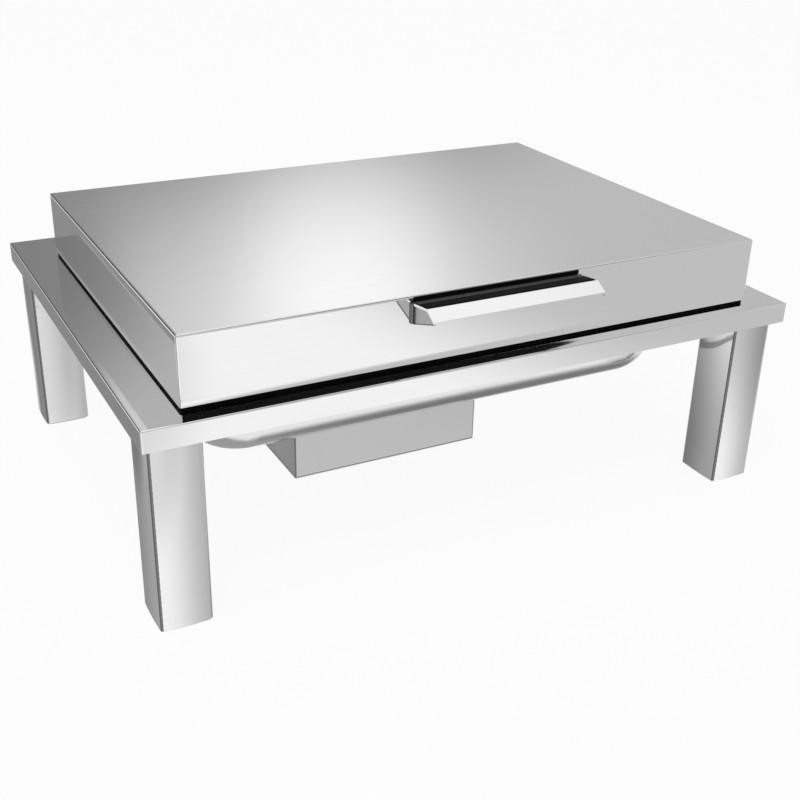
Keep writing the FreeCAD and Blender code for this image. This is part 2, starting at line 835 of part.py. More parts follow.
def hinge_bracket(side):
    """Return one hinge bracket: a base plate, two round-topped ears and a rear stop wall."""
    middle = hinge_middle(side)
    front = pivot_y - ear_radius
    rear = front + bracket_depth
    base_top = stand_height + bracket_base_sheet
    half_width = ear_opening / 2 + ear_sheet
    bracket = wide_block(middle, 2 * half_width, front, rear, stand_height, base_top)
    for sign in (-1, 1):
        inner = middle + sign * ear_opening / 2
        outer = middle + sign * half_width
        low = min(inner, outer)
        high = max(inner, outer)
        bracket = bracket.fuse(block(low, high, front, front + 2 * ear_radius, base_top, pivot_z))
        bracket = bracket.fuse(rod_along_x(ear_radius, low, high, pivot_y, pivot_z))
    open_leaf_z = pivot_z + pivot_behind_lid - leaf_sheet
    stop = wide_block(middle, leaf_width, rear - stop_sheet, rear, base_top, open_leaf_z - stop_gap)
    hole_radius = bracket_screw_radius + screw_hole_gap
    holes = [rod_along_z(hole_radius, x, y, stand_height, base_top) for x, y in bracket_screw_places()]
    holes.append(rod_along_x(pin_radius, middle - half_width, middle + half_width, pivot_y, pivot_z))
    return one_solid(bracket.fuse(stop).cut(holes).removeSplitter())


def knuckle_rod(middle, radius):
    """Return a cylinder along one knuckle's whole length."""
    return rod_along_x(radius, middle - knuckle_length / 2, middle + knuckle_length / 2, pivot_y, pivot_z)


def hinge_leaf(side):
    """Return one hinge leaf: a knuckle, a short web and a plate on the lid's rear wall."""
    middle = hinge_middle(side)
    foot_z = pivot_z - leaf_web_drop
    plate_rear = lid_rear_y + leaf_sheet
    knuckle = knuckle_rod(middle, knuckle_radius)
    plate = wide_block(middle, leaf_width, lid_rear_y, plate_rear, foot_z, pivot_z + leaf_height)
    web = wide_block(middle, knuckle_length, plate_rear, pivot_y, foot_z, pivot_z + knuckle_radius)
    holes = [rod_along_y(leaf_screw_radius, x, lid_rear_y, plate_rear, z) for x, z in leaf_screw_places()]
    holes.append(knuckle_rod(middle, knuckle_radius - knuckle_wall))
    return one_solid(knuckle.fuse(plate).fuse(web).cut(holes).removeSplitter())


def hinge_bush(side):
    """Return the bronze bush inside one knuckle."""
    middle = hinge_middle(side)
    outer = knuckle_rod(middle, knuckle_radius - knuckle_wall)
    return one_solid(outer.cut(knuckle_rod(middle, pin_radius + pin_running_gap)))


def hinge_pin(side):
    """Return one headed hinge pin."""
    middle = hinge_middle(side)
    half_width = ear_opening / 2 + ear_sheet
    outer = middle + side * half_width
    tail = middle - side * (half_width + clip_sheet + pin_tail)
    pin = rod(pin_radius, Vector(tail, pivot_y, pivot_z), Vector(outer, pivot_y, pivot_z))
    head = rod(pin_head_radius, Vector(outer, pivot_y, pivot_z),
               Vector(outer + side * pin_head_height, pivot_y, pivot_z))
    return one_solid(pin.fuse(head).removeSplitter())


def pin_clips():
    """Return the retaining clips on the pins' tails."""
    clips = []
    for side in (-1, 1):
        base = Vector(hinge_middle(side) - side * (ear_opening / 2 + ear_sheet), pivot_y, pivot_z)
        clips.append(washer(pin_head_radius, pin_radius, clip_sheet, base, RIGHT * -side))
    return group(clips)


def hinge_damper(side):
    """Return the rotary damper barrel beside one knuckle."""
    middle = hinge_middle(side)
    inner = middle + side * (knuckle_length / 2 + knuckle_side_gap)
    outer = middle + side * ear_opening / 2
    low = min(inner, outer)
    high = max(inner, outer)
    barrel = rod_along_x(damper_radius, low, high, pivot_y, pivot_z)
    return one_solid(barrel.cut(rod_along_x(pin_radius, low, high, pivot_y, pivot_z)))


def hinge_spacers():
    """Return the sleeves that fill the pins between the knuckles and the inner ears."""
    sleeves = []
    for side in (-1, 1):
        inner = hinge_middle(side) - side * (knuckle_length / 2 + knuckle_side_gap)
        outer = hinge_middle(side) - side * ear_opening / 2
        low = min(inner, outer)
        high = max(inner, outer)
        sleeve = rod_along_x(spacer_radius, low, high, pivot_y, pivot_z)
        sleeves.append(sleeve.cut(rod_along_x(pin_radius, low, high, pivot_y, pivot_z)))
    return group(sleeves)


def bracket_screws():
    """Return the screws through the hinge brackets and the stand top."""
    reach = bracket_base_sheet + stand_sheet + bracket_nut_height + thread_beyond_nut
    seat_z = stand_height + bracket_base_sheet
    return group(screw(bracket_screw_radius, reach, bracket_screw_head_radius, bracket_screw_head_height,
                       Vector(x, y, seat_z), UP * -1) for x, y in bracket_screw_places())


def bracket_nuts():
    """Return the nuts under the stand top."""
    seat_z = stand_height - stand_sheet
    return group(nut(bracket_nut_flats, bracket_nut_height, bracket_screw_radius,
                     Vector(x, y, seat_z), UP * -1) for x, y in bracket_screw_places())


def leaf_screws():
    """Return the screws whose heads sit inside the lid and whose threads end in the hinge leaves."""
    reach = lid_sheet + leaf_sheet
    seat_y = lid_rear_y - lid_sheet
    return group(screw(leaf_screw_radius, reach, leaf_screw_head_radius, leaf_screw_head_height,
                       Vector(x, seat_y, z), REAR) for x, z in leaf_screw_places())


# Heater box

def pan_stud_places():
    """Return the x and y of each stud under the water pan."""
    return [(heater_offset + step_x, plate_middle_y + step_y)
            for step_x in spread(heater_width - 2 * pan_stud_inset) for step_y in spread(support_spacing)]


def base_screw_places():
    """Return the x and y of each screw under the heater's base plate."""
    return [(heater_offset + step_x, heater_middle_y + step_y)
            for step_x in spread(heater_width - 2 * base_screw_inset)
            for step_y in spread(heater_depth - 2 * base_screw_inset)]


def inlet_screw_places():
    """Return the x of each screw that holds the power inlet."""
    return [inlet_x + step for step in spread(inlet_screw_spacing)]


def heater_housing():
    """Return the folded heater box: four walls, inward flanges above and below, and the panel holes."""
    foot_z = heater_base_z + heater_sheet
    flange_z = heater_top_z - heater_sheet
    inner_width = heater_width - 2 * heater_sheet
    inner_depth = heater_depth - 2 * heater_sheet
    outside = heater_block(heater_width, heater_depth, foot_z, heater_top_z)
    outside = outside.makeFillet(heater_edge_radius, upright_edges(outside))
    inside = heater_block(inner_width, inner_depth, foot_z + heater_sheet, flange_z)
    top_hole = heater_block(heater_width - 2 * heater_top_flange, inner_depth, flange_z, heater_top_z)
    foot_hole = heater_block(heater_width - 2 * heater_foot_flange, heater_depth - 2 * heater_foot_flange,
                             foot_z, foot_z + heater_sheet)
    holes = [rod_along_z(pan_stud_radius + screw_hole_gap, x, y, flange_z, heater_top_z)
             for x, y in pan_stud_places()]
    holes += [rod_along_z(base_screw_radius, x, y, foot_z, foot_z + heater_sheet)
              for x, y in base_screw_places()]
    return one_solid(outside.cut([inside, top_hole, foot_hole] + holes + panel_holes()))


def heater_block(width, depth, z_low, z_high):
    """Return a box centred on the heater box in plan."""
    return centred_block(heater_offset, heater_middle_y, width, depth, z_low, z_high)


def panel_slot(x, width, height):
    """Return a cutter for a rectangular hole in the rear panel."""
    return wide_block(x, width, panel_inner_y, heater_rear_y, control_z - height / 2, control_z + height / 2)


def panel_bore(x, radius):
    """Return a cutter for a round hole in the rear panel."""
    return rod_along_y(radius, x, panel_inner_y, heater_rear_y, control_z)


def panel_holes():
    """Return the cutters for the controls' holes in the rear panel."""
    play = 2 * panel_hole_gap
    cutters = [
        panel_slot(inlet_x, inlet_body_width + play, inlet_body_height + play),
        panel_slot(switch_x, switch_body_width + play, switch_body_height + play),
        panel_bore(lamp_x, lamp_body_radius + lamp_hole_gap),
        panel_bore(knob_x, spindle_radius + spindle_hole_gap),
    ]
    return cutters + [panel_bore(x, inlet_screw_radius + screw_hole_gap) for x in inlet_screw_places()]


def heater_base_plate():
    """Return the flat plate that closes the heater box from below, with vent slots."""
    plate_top_z = heater_base_z + heater_sheet
    plate = heater_block(heater_width, heater_depth, heater_base_z, plate_top_z)
    plate = plate.makeFillet(heater_edge_radius, upright_edges(plate))
    hole_radius = base_screw_radius + screw_hole_gap
    cutters = [rod_along_z(hole_radius, x, y, heater_base_z, plate_top_z) for x, y in base_screw_places()]
    for index in range(vent_count):
        slot_y = plate_middle_y + (index - (vent_count - 1) / 2) * vent_pitch
        cutters.append(rounded_slab(vent_length, vent_width, vent_end_radius, heater_offset, slot_y,
                                    heater_base_z, plate_top_z))
    return one_solid(plate.cut(cutters))


def base_screws():
    """Return the screws that hold the base plate to the housing's foot flange."""
    return group(screw(base_screw_radius, base_screw_length, base_screw_head_radius,
                       base_screw_head_height, Vector(x, y, heater_base_z), UP)
                 for x, y in base_screw_places())


def clamp_screw_places():
    """Return the x and y of each clamp screw, midway between two passes of the element."""
    return [(heater_offset + step_x, plate_middle_y + step_y)
            for step_x in spread(2 * element_pass_spacing)
            for step_y in spread(plate_length - 2 * clamp_screw_end_inset)]


def heating_plate():
    """Return the aluminium plate that presses against the water pan's floor."""
    plate = rounded_slab(plate_width, plate_length, plate_corner, heater_offset, plate_middle_y,
                         plate_base_z, heater_top_z)
    return one_solid(plate.cut(sensor_bulb()))


def smooth_path(points, bend):
    """Return a wire of straight runs joined by tangent arcs at each inner point."""
    edges = []
    start = points[0]
    for index in range(1, len(points) - 1):
        corner = points[index]
        before = (points[index - 1] - corner).normalize()
        after = (points[index + 1] - corner).normalize()
        half_turn = (math.pi - before.getAngle(after)) / 2
        trim = bend * math.tan(half_turn)
        arc_start = corner + before * trim
        arc_end = corner + after * trim
        inward = (before + after).normalize()
        arc_middle = corner + inward * (bend / math.cos(half_turn) - bend)
        edges.append(Part.makeLine(start, arc_start))
        edges.append(Part.Arc(arc_start, arc_middle, arc_end).toShape())
        start = arc_end
    edges.append(Part.makeLine(start, points[-1]))
    return Part.Wire(edges)


def tube(points, radius, bend):
    """Return a round bar swept along a path of straight runs and arcs."""
    path = smooth_path(points, bend)
    direction = points[1] - points[0]
    section = Part.Wire(Part.makeCircle(radius, points[0], direction))
    return one_solid(path.makePipeShell([section], True, True))


def element_points():
    """Return the corners of the element's four passes under the heating plate."""
    z = plate_base_z - element_radius
    rear_y = plate_rear_y - element_end_inset
    front_y = plate_front_y + element_end_inset
    tail_y = plate_rear_y + element_tail
    half = element_pass_spacing / 2
    passes = [heater_offset + step * half for step in (-3, -1, 1, 3)]
    return [
        Vector(passes[0], tail_y, z),
        Vector(passes[0], front_y, z),
        Vector(passes[1], front_y, z),
        Vector(passes[1], rear_y, z),
        Vector(passes[2], rear_y, z),
        Vector(passes[2], front_y, z),
        Vector(passes[3], front_y, z),
        Vector(passes[3], tail_y, z),
    ]


def heating_element():
    """Return the sheathed element bent into four passes, with both tails at the rear."""
    return tube(element_points(), element_radius, element_pass_spacing / 2 - element_bend_gap)


def plate_block(width, length, z_low, z_high):
    """Return a box centred on the heating plate in plan."""
    return centred_block(heater_offset, plate_middle_y, width, length, z_low, z_high)


def element_clamp():
    """Return the clamp sheet that holds the element against the heating plate."""
    sheet = plate_block(clamp_width, clamp_length, clamp_base_z, clamp_top_z)
    hole_radius = clamp_screw_radius + screw_hole_gap
    holes = [rod_along_z(hole_radius, x, y, clamp_base_z, clamp_top_z) for x, y in clamp_screw_places()]
    return one_solid(sheet.cut(holes))


def clamp_sleeves():
    """Return the spacers between the clamp and the heating plate, threaded for the clamp's screws."""
    length = plate_base_z - clamp_top_z
    return group(washer(clamp_screw_head_radius, clamp_screw_radius, length, Vector(x, y, clamp_top_z), UP)
                 for x, y in clamp_screw_places())


def clamp_screws():
    """Return the screws that hold the element clamp."""
    reach = plate_base_z - clamp_base_z
    return group(screw(clamp_screw_radius, reach, clamp_screw_head_radius, clamp_screw_head_height,
                       Vector(x, y, clamp_base_z), UP) for x, y in clamp_screw_places())


def insulation_pad():
    """Return the fibre pad under the clamp, with pockets for the clamp's screw heads."""
    pad = plate_block(clamp_width, clamp_length, insulation_base_z, clamp_base_z)
    pocket_radius = clamp_screw_head_radius + screw_hole_gap
    pocket_z = clamp_base_z - clamp_screw_head_height
    pockets = [rod_along_z(pocket_radius, x, y, pocket_z, clamp_base_z) for x, y in clamp_screw_places()]
    return one_solid(pad.cut(pockets))


def support_bars():
    """Return the two bars that press the pad, element and plate up against the pan."""
    length = heater_width - 2 * (heater_sheet + support_end_gap)
    hole_radius = pan_stud_radius + screw_hole_gap
    holes = [rod_along_z(hole_radius, x, y, support_base_z, insulation_base_z) for x, y in pan_stud_places()]
    bars = []
    for step in spread(support_spacing):
        bar = centred_block(heater_offset, plate_middle_y + step, length, support_width,
                            support_base_z, insulation_base_z)
        bars.append(bar.cut(holes))
    return group(bars)


def pan_studs():
    """Return the studs welded under the water pan."""
    tip_z = support_base_z - pan_nut_height - pan_stud_tail
    return group(rod_along_z(pan_stud_radius, x, y, tip_z, heater_top_z) for x, y in pan_stud_places())


def pan_stud_nuts(seat_z):
    """Return a nut on each pan stud, drawn up against seat_z."""
    return group(nut(pan_nut_flats, pan_nut_height, pan_stud_radius, Vector(x, y, seat_z), UP * -1)
                 for x, y in pan_stud_places())


# Controls

def control_block(x, width, height, y_low, y_high):
    """Return a box centred on a control's axis."""
    return wide_block(x, width, y_low, y_high, control_z - height / 2, control_z + height / 2)


def power_inlet():
    """Return the panel inlet for an appliance cord: flange, body and socket."""
    mouth_y = heater_rear_y + inlet_flange_sheet
    flange = control_block(inlet_x, inlet_flange_width, inlet_flange_height, heater_rear_y, mouth_y)
    side_edges = [edge for edge in flange.Edges if edge.BoundBox.YLength > inlet_flange_sheet / 2]
    flange = flange.makeFillet(inlet_flange_corner, side_edges)
    body = control_block(inlet_x, inlet_body_width, inlet_body_height,
                         panel_inner_y - inlet_body_depth, heater_rear_y)
    mouth = control_block(inlet_x, inlet_mouth_width, inlet_mouth_height,
                          mouth_y - inlet_mouth_depth, mouth_y)
    hole_radius = inlet_screw_radius + screw_hole_gap
    holes = [rod_along_y(hole_radius, x, heater_rear_y, mouth_y, control_z) for x in inlet_screw_places()]
    return one_solid(flange.fuse(body).cut([mouth] + inlet_pin_blocks() + holes).removeSplitter())


def inlet_pin_blocks():
    """Return the three flat contact pins, each from its tail inside the box to its tip in the socket."""
    socket_floor_y = heater_rear_y + inlet_flange_sheet - inlet_mouth_depth
    tip_y = socket_floor_y + inlet_pin_length
    pins = []
    for step, rise in ((-1, -inlet_pin_rise), (0, inlet_pin_rise), (1, -inlet_pin_rise)):
        z = control_z + rise
        pins.append(wide_block(inlet_x + step * inlet_pin_spacing, inlet_pin_sheet, inlet_tail_y, tip_y,
                               z - inlet_pin_width / 2, z + inlet_pin_width / 2))
    return pins


def inlet_screws():
    """Return the screws that hold the inlet's flange."""
    reach = inlet_flange_sheet + heater_sheet + inlet_nut_height + thread_beyond_nut
    seat_y = heater_rear_y + inlet_flange_sheet
    return group(screw(inlet_screw_radius, reach, inlet_screw_head_radius, inlet_screw_head_height,
                       Vector(x, seat_y, control_z), REAR * -1) for x in inlet_screw_places())


def inlet_nuts():
    """Return the nuts behind the inlet's screws."""
    return group(nut(inlet_nut_flats, inlet_nut_height, inlet_screw_radius,
                     Vector(x, panel_inner_y, control_z), REAR * -1) for x in inlet_screw_places())


def switch_housing():
    """Return the rocker switch's frame and body with the well that the rocker turns in."""
    face_y = heater_rear_y + switch_flange_sheet
    flange = control_block(switch_x, switch_flange_width, switch_flange_height, heater_rear_y, face_y)
    body = control_block(switch_x, switch_body_width, switch_body_height,
                         panel_inner_y - switch_body_depth, heater_rear_y)
    well = control_block(switch_x, well_width, switch_body_height - 2 * switch_well_end_wall,
                         face_y - switch_well_depth, face_y)
    reach = rocker_half_width + rocker_trunnion_length + rocker_trunnion_end_gap
    bearing_radius = rocker_trunnion_radius + spindle_running_gap
    bearing = rod_along_x(bearing_radius, switch_x - reach, switch_x + reach, rocker_pivot_y, control_z)
    return one_solid(flange.fuse(body).cut([well, bearing]).removeSplitter())


def switch_rocker():
    """Return the rocker, resting with its upper half pressed in."""
    outline = [
        (rocker_pivot_y - rocker_back, control_z - rocker_half_height),
        (rocker_pivot_y + rocker_crown, control_z - rocker_half_height),
        (rocker_pivot_y + rocker_dish, control_z),
        (rocker_pivot_y + rocker_crown, control_z + rocker_half_height),
        (rocker_pivot_y - rocker_back, control_z + rocker_half_height),
    ]
    cap = side_profile(outline, switch_x - rocker_half_width, switch_x + rocker_half_width)
    reach = rocker_half_width + rocker_trunnion_length
    trunnion = rod_along_x(rocker_trunnion_radius, switch_x - reach, switch_x + reach,
                           rocker_pivot_y, control_z)
    rocker = cap.fuse(trunnion).removeSplitter()
    rocker.rotate(Vector(switch_x, rocker_pivot_y, control_z), RIGHT, rocker_tilt)
    return one_solid(rocker)


def switch_tab_places():
    """Return the x and z of each switch terminal."""
    return [(switch_x, control_z + step) for step in spread(switch_tab_spacing)]


def switch_tabs():
    """Return the switch's two flat terminals."""
    root_y = panel_inner_y - switch_body_depth
    half_sheet = tab_sheet / 2
    return group(wide_block(x, tab_width, root_y - tab_length, root_y, z - half_sheet, z + half_sheet)
                 for x, z in switch_tab_places())


def indicator_lamp():
    """Return the indicator lamp: a domed lens outside the panel and a round body inside."""
    face_y = heater_rear_y + lamp_lens_height
    lens = rod_along_y(lamp_lens_radius, lamp_x, heater_rear_y, face_y, control_z)
    tip = Vector(lamp_x, face_y, control_z)
    dome = [edge for edge in lens.Edges if edge.CenterOfMass.isEqual(tip, edge_match)]
    lens = lens.makeFillet(lamp_dome_radius, dome)
    body = rod_along_y(lamp_body_radius, lamp_x, panel_inner_y - lamp_body_length, heater_rear_y, control_z)
    return one_solid(lens.fuse(body).removeSplitter())


def thermostat_body():
    """Return the thermostat's body behind the panel, bored for its spindle."""
    body = control_block(knob_x, thermostat_width, thermostat_height,
                         panel_inner_y - thermostat_depth, panel_inner_y)
    bore = rod_along_y(spindle_radius + spindle_running_gap, knob_x,
                       panel_inner_y - thermostat_bore_depth, panel_inner_y, control_z)
    return one_solid(body.cut(bore))


def thermostat_tab_places():
    """Return the x and z of each thermostat terminal."""
    return [(knob_x + step, control_z) for step in spread(thermostat_tab_spacing)]


def thermostat_tabs():
    """Return the thermostat's two flat terminals."""
    root_y = panel_inner_y - thermostat_depth
    half_width = tab_width / 2
    return group(wide_block(x, tab_sheet, root_y - tab_length, root_y, z - half_width, z + half_width)
                 for x, z in thermostat_tab_places())


def thermostat_spindle():
    """Return the spindle that the knob turns in the thermostat."""
    inner_y = panel_inner_y - spindle_engagement
    outer_y = heater_rear_y + knob_panel_gap + knob_bore_depth
    return one_solid(rod_along_y(spindle_radius, knob_x, inner_y, outer_y, control_z))


def thermostat_knob():
    """Return the round knob with a skirt, finger flutes and a pointer groove."""
    base_y = heater_rear_y + knob_panel_gap
    skirt_y = base_y + knob_skirt_height
    face_y = base_y + knob_height
    skirt = rod_along_y(knob_skirt_radius, knob_x, base_y, skirt_y, control_z)
    grip = rod_along_y(knob_radius, knob_x, base_y, face_y, control_z)
    face_middle = Vector(knob_x, face_y, control_z)
    face_edge = [edge for edge in grip.Edges if edge.CenterOfMass.isEqual(face_middle, edge_match)]
    grip = grip.makeFillet(knob_edge_radius, face_edge)
    pointer = wide_block(knob_x, knob_pointer_width, face_y - knob_pointer_depth, face_y,
                         control_z + knob_pointer_start, control_z + knob_radius)
    bore = rod_along_y(spindle_radius, knob_x, base_y, base_y + knob_bore_depth, control_z)
    cutters = [pointer, bore]
    for index in range(knob_grip_count):
        angle = 2 * math.pi * (index + 0.5) / knob_grip_count
        flute_x = knob_x + knob_radius * math.cos(angle)
        flute_z = control_z + knob_radius * math.sin(angle)
        cutters.append(rod_along_y(knob_grip_radius, flute_x, skirt_y, face_y, flute_z))
    return one_solid(skirt.fuse(grip).cut(cutters).removeSplitter())


def sensor_bulb():
    """Return the thermostat's sensing bulb in its channel under the heating plate."""
    return rod_along_y(bulb_radius, bulb_x, plate_rear_y - bulb_length, plate_rear_y, plate_base_z)


def capillary():
    """Return the thin tube from the thermostat's body to its sensing bulb."""
    start_x = knob_x + capillary_side
    start_z = control_z + capillary_rise
    body_y = panel_inner_y - thermostat_depth
    bend_y = (body_y + plate_rear_y) / 2
    points = [
        Vector(start_x, body_y, start_z),
        Vector(start_x, bend_y + lead_exit, start_z),
        Vector(bulb_x, bend_y - lead_exit, plate_base_z),
        Vector(bulb_x, plate_rear_y, plate_base_z),
    ]
    return tube(points, capillary_radius, lead_bend)


def lead(start, end, exit_length):
    """Return a lead that leaves both of its ends towards the front and crosses over between them."""
    forward = REAR * -exit_length
    if start.y < end.y:
        start_turn = start + forward
        end_turn = Vector(end.x, start_turn.y, end.z)
    else:
        end_turn = end + forward
        start_turn = Vector(start.x, end_turn.y, start.z)
    return tube([start, start_turn, end_turn, end], lead_radius, lead_bend)


def element_lead(start, tail):
    """Return a lead that leaves start towards the front, turns and meets an element tail from behind."""
    middle_y = (start.y + tail.y) / 2
    points = [start, Vector(start.x, middle_y, start.z), Vector(tail.x, middle_y, tail.z), tail]
    return tube(points, lead_radius, lead_bend)


def heater_leads():
    """Return the insulated leads that join inlet, switch, thermostat, element and base plate."""
    low_pin_z = control_z - inlet_pin_rise
    neutral = Vector(inlet_x - inlet_pin_spacing, inlet_tail_y, low_pin_z)
    live = Vector(inlet_x + inlet_pin_spacing, inlet_tail_y, low_pin_z)
    earth = Vector(inlet_x, inlet_tail_y, control_z + inlet_pin_rise)
    element = element_points()
    tab_y = panel_inner_y - switch_body_depth - tab_length
    high_tab, low_tab = [Vector(x, tab_y, z) for x, z in reversed(switch_tab_places())]
    dial_y = panel_inner_y - thermostat_depth - tab_length
    dial_in, dial_out = [Vector(x, dial_y, z) for x, z in thermostat_tab_places()]
    base_z = heater_base_z + heater_sheet
    earth_turn = earth + REAR * -lead_exit
    earth_path = [earth, earth_turn, Vector(earth.x, earth_turn.y, base_z)]
    leads = [
        element_lead(neutral, element[0]),
        lead(live, low_tab, lead_exit),
        lead(high_tab, dial_in, lead_exit),
        element_lead(dial_out, element[-1]),
        tube(earth_path, lead_radius, lead_bend),
    ]
    return group(leads)


def legs():
    """Return every leg by node name."""
    return {"leg_" + name: leg(x_low, y_low) for name, (x_low, y_low) in leg_corners().items()}


def feet():
    """Return the four rubber feet."""
    return group([foot(x_low, y_low) for x_low, y_low in leg_corners().values()])


def hinge_pieces():
    """Return every paired hinge piece by node name."""
    pieces = {}
    for name, side in (("left", -1), ("right", 1)):
        pieces["hinge_bracket_" + name] = hinge_bracket(side)
        pieces["hinge_leaf_" + name] = hinge_leaf(side)
    return pieces


def all_pieces():
    """Return every piece of the chafing dish by node name."""
    pieces = {
        "stand_top": stand_top(),
        "corner_plates": corner_plates(),
        "leg_studs": leg_studs(),
        "leg_washers": leg_washers(),
        "leg_nuts": leg_nuts(),
        "feet": feet(),
        "water_pan": water_pan(),
        "food_pan": food_pan(),
        "lid_shell": lid_shell(),
        "lid_seal": lid_seal(),
        "lid_drip_rim": lid_drip_rim(),
        "handle_grip": handle_grip(),
        "handle_end_left": handle_end(-1),
        "handle_end_right": handle_end(1),
        "handle_screws": handle_screws(),
        "handle_nuts": handle_nuts(),
        "hinge_bushes": group([hinge_bush(side) for side in (-1, 1)]),
        "hinge_pins": group([hinge_pin(side) for side in (-1, 1)]),
        "hinge_dampers": group([hinge_damper(side) for side in (-1, 1)]),
        "hinge_pin_clips": pin_clips(),
        "hinge_spacers": hinge_spacers(),
        "hinge_bracket_screws": bracket_screws(),
        "hinge_bracket_nuts": bracket_nuts(),
        "hinge_leaf_screws": leaf_screws(),
        "heater_housing": heater_housing(),
        "heater_base_plate": heater_base_plate(),
        "heater_base_screws": base_screws(),
        "heating_plate": heating_plate(),
        "heating_element": heating_element(),
        "element_clamp": element_clamp(),
        "element_clamp_sleeves": clamp_sleeves(),
        "element_clamp_screws": clamp_screws(),
        "insulation_pad": insulation_pad(),
        "heater_support_bars": support_bars(),
        "pan_studs": pan_studs(),
        "housing_nuts": pan_stud_nuts(heater_top_z - heater_sheet),
        "support_bar_nuts": pan_stud_nuts(support_base_z),
        "power_inlet": power_inlet(),
        "inlet_pins": group(inlet_pin_blocks()),
        "inlet_screws": inlet_screws(),
        "inlet_nuts": inlet_nuts(),
        "switch_housing": switch_housing(),
        "switch_rocker": switch_rocker(),
        "switch_tabs": switch_tabs(),
        "indicator_lamp": indicator_lamp(),
        "thermostat_body": thermostat_body(),
        "thermostat_tabs": thermostat_tabs(),
        "thermostat_spindle": thermostat_spindle(),
        "thermostat_knob": thermostat_knob(),
        "sensor_bulb": sensor_bulb(),
        "sensor_capillary": capillary(),
        "heater_leads": heater_leads(),
    }
    pieces.update(legs())
    pieces.update(hinge_pieces())
    return pieces


def write_pieces():
    """Write one STEP file for each piece."""
    os.makedirs("parts", exist_ok=True)
    for name, shape in all_pieces().items():
        if not shape.isValid():
            raise ValueError("the shape of %s is not valid" % name)
        shape.exportStep("parts/" + name + ".step")
        print(name, len(shape.Solids), round(shape.Volume, 1))


write_pieces()
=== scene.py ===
"""Looks of a rectangular chafing dish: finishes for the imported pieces, small trim, and a studio."""

import logging
import math
from dataclasses import dataclass
from enum import Enum
from functools import cache
from typing import Optional, Sequence

import bmesh
import bpy
from mathutils import Matrix, Vector


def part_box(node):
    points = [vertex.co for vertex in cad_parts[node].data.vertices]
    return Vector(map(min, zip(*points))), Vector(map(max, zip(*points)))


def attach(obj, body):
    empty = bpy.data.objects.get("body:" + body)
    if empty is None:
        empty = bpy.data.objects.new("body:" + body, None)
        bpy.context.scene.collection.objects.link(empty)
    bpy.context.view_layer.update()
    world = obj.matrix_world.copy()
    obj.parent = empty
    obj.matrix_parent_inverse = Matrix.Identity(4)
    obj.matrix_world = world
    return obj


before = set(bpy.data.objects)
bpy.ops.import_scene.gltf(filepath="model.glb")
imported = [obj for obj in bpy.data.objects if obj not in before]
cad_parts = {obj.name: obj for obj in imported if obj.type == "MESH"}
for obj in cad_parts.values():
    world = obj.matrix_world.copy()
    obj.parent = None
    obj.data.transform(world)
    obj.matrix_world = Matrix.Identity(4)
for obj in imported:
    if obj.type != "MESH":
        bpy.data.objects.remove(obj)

log = logging.getLogger("chafing_dish")

BMesh = bmesh.types.BMesh
Material = bpy.types.Material
Piece = bpy.types.Object
Socket = bpy.types.NodeSocket
Pair = tuple[float, float]
Triple = tuple[float, float, float]

MM = 0.001
UNSTRETCHED: Triple = (1.0, 1.0, 1.0)
SMOOTH_DEGREES = 35.0
BEVEL_STEPS = 3
LATHE_STEPS = 48
WELD_STEPS = 32
WELD_TIP = 0.2
WELD_SWELL = 0.02


class Body(str, Enum):
    """The bodies that the added pieces ride on."""

    STAND = "stand"
    LID = "lid"
    WATER_PAN = "water_pan"
    KNOB = "thermostat_knob"


class Grain(Enum):
    """The way in which a sheet was brushed or rolled, as stretch factors for its texture."""

    LENGTHWISE = (0.012, 1.0, 1.0)
    CROSSWISE = (1.0, 0.012, 1.0)
    UPRIGHT = (1.0, 1.0, 0.012)
    CAST = UNSTRETCHED


# Shader graphs


@dataclass(frozen=True)
class Noise:
    """The shape of a noise over a piece.

    Attributes:
        scale: waves per metre.
        detail: octaves.
        rough: strength of the finer octaves.
        stretch: factors for X, Y and Z.
    """

    scale: float
    detail: float = 2.0
    rough: float = 0.5
    stretch: Triple = UNSTRETCHED


class Mixed(Enum):
    """What can be mixed, as the node's type and settings, its inputs' places and its output's."""

    NUMBERS = ("ShaderNodeMix", {"data_type": "FLOAT"}, (0, 2, 3), 0)
    COLOURS = ("ShaderNodeMix", {"data_type": "RGBA"}, (0, 6, 7), 2)
    SHADERS = ("ShaderNodeMixShader", {}, (0, 1, 2), 0)


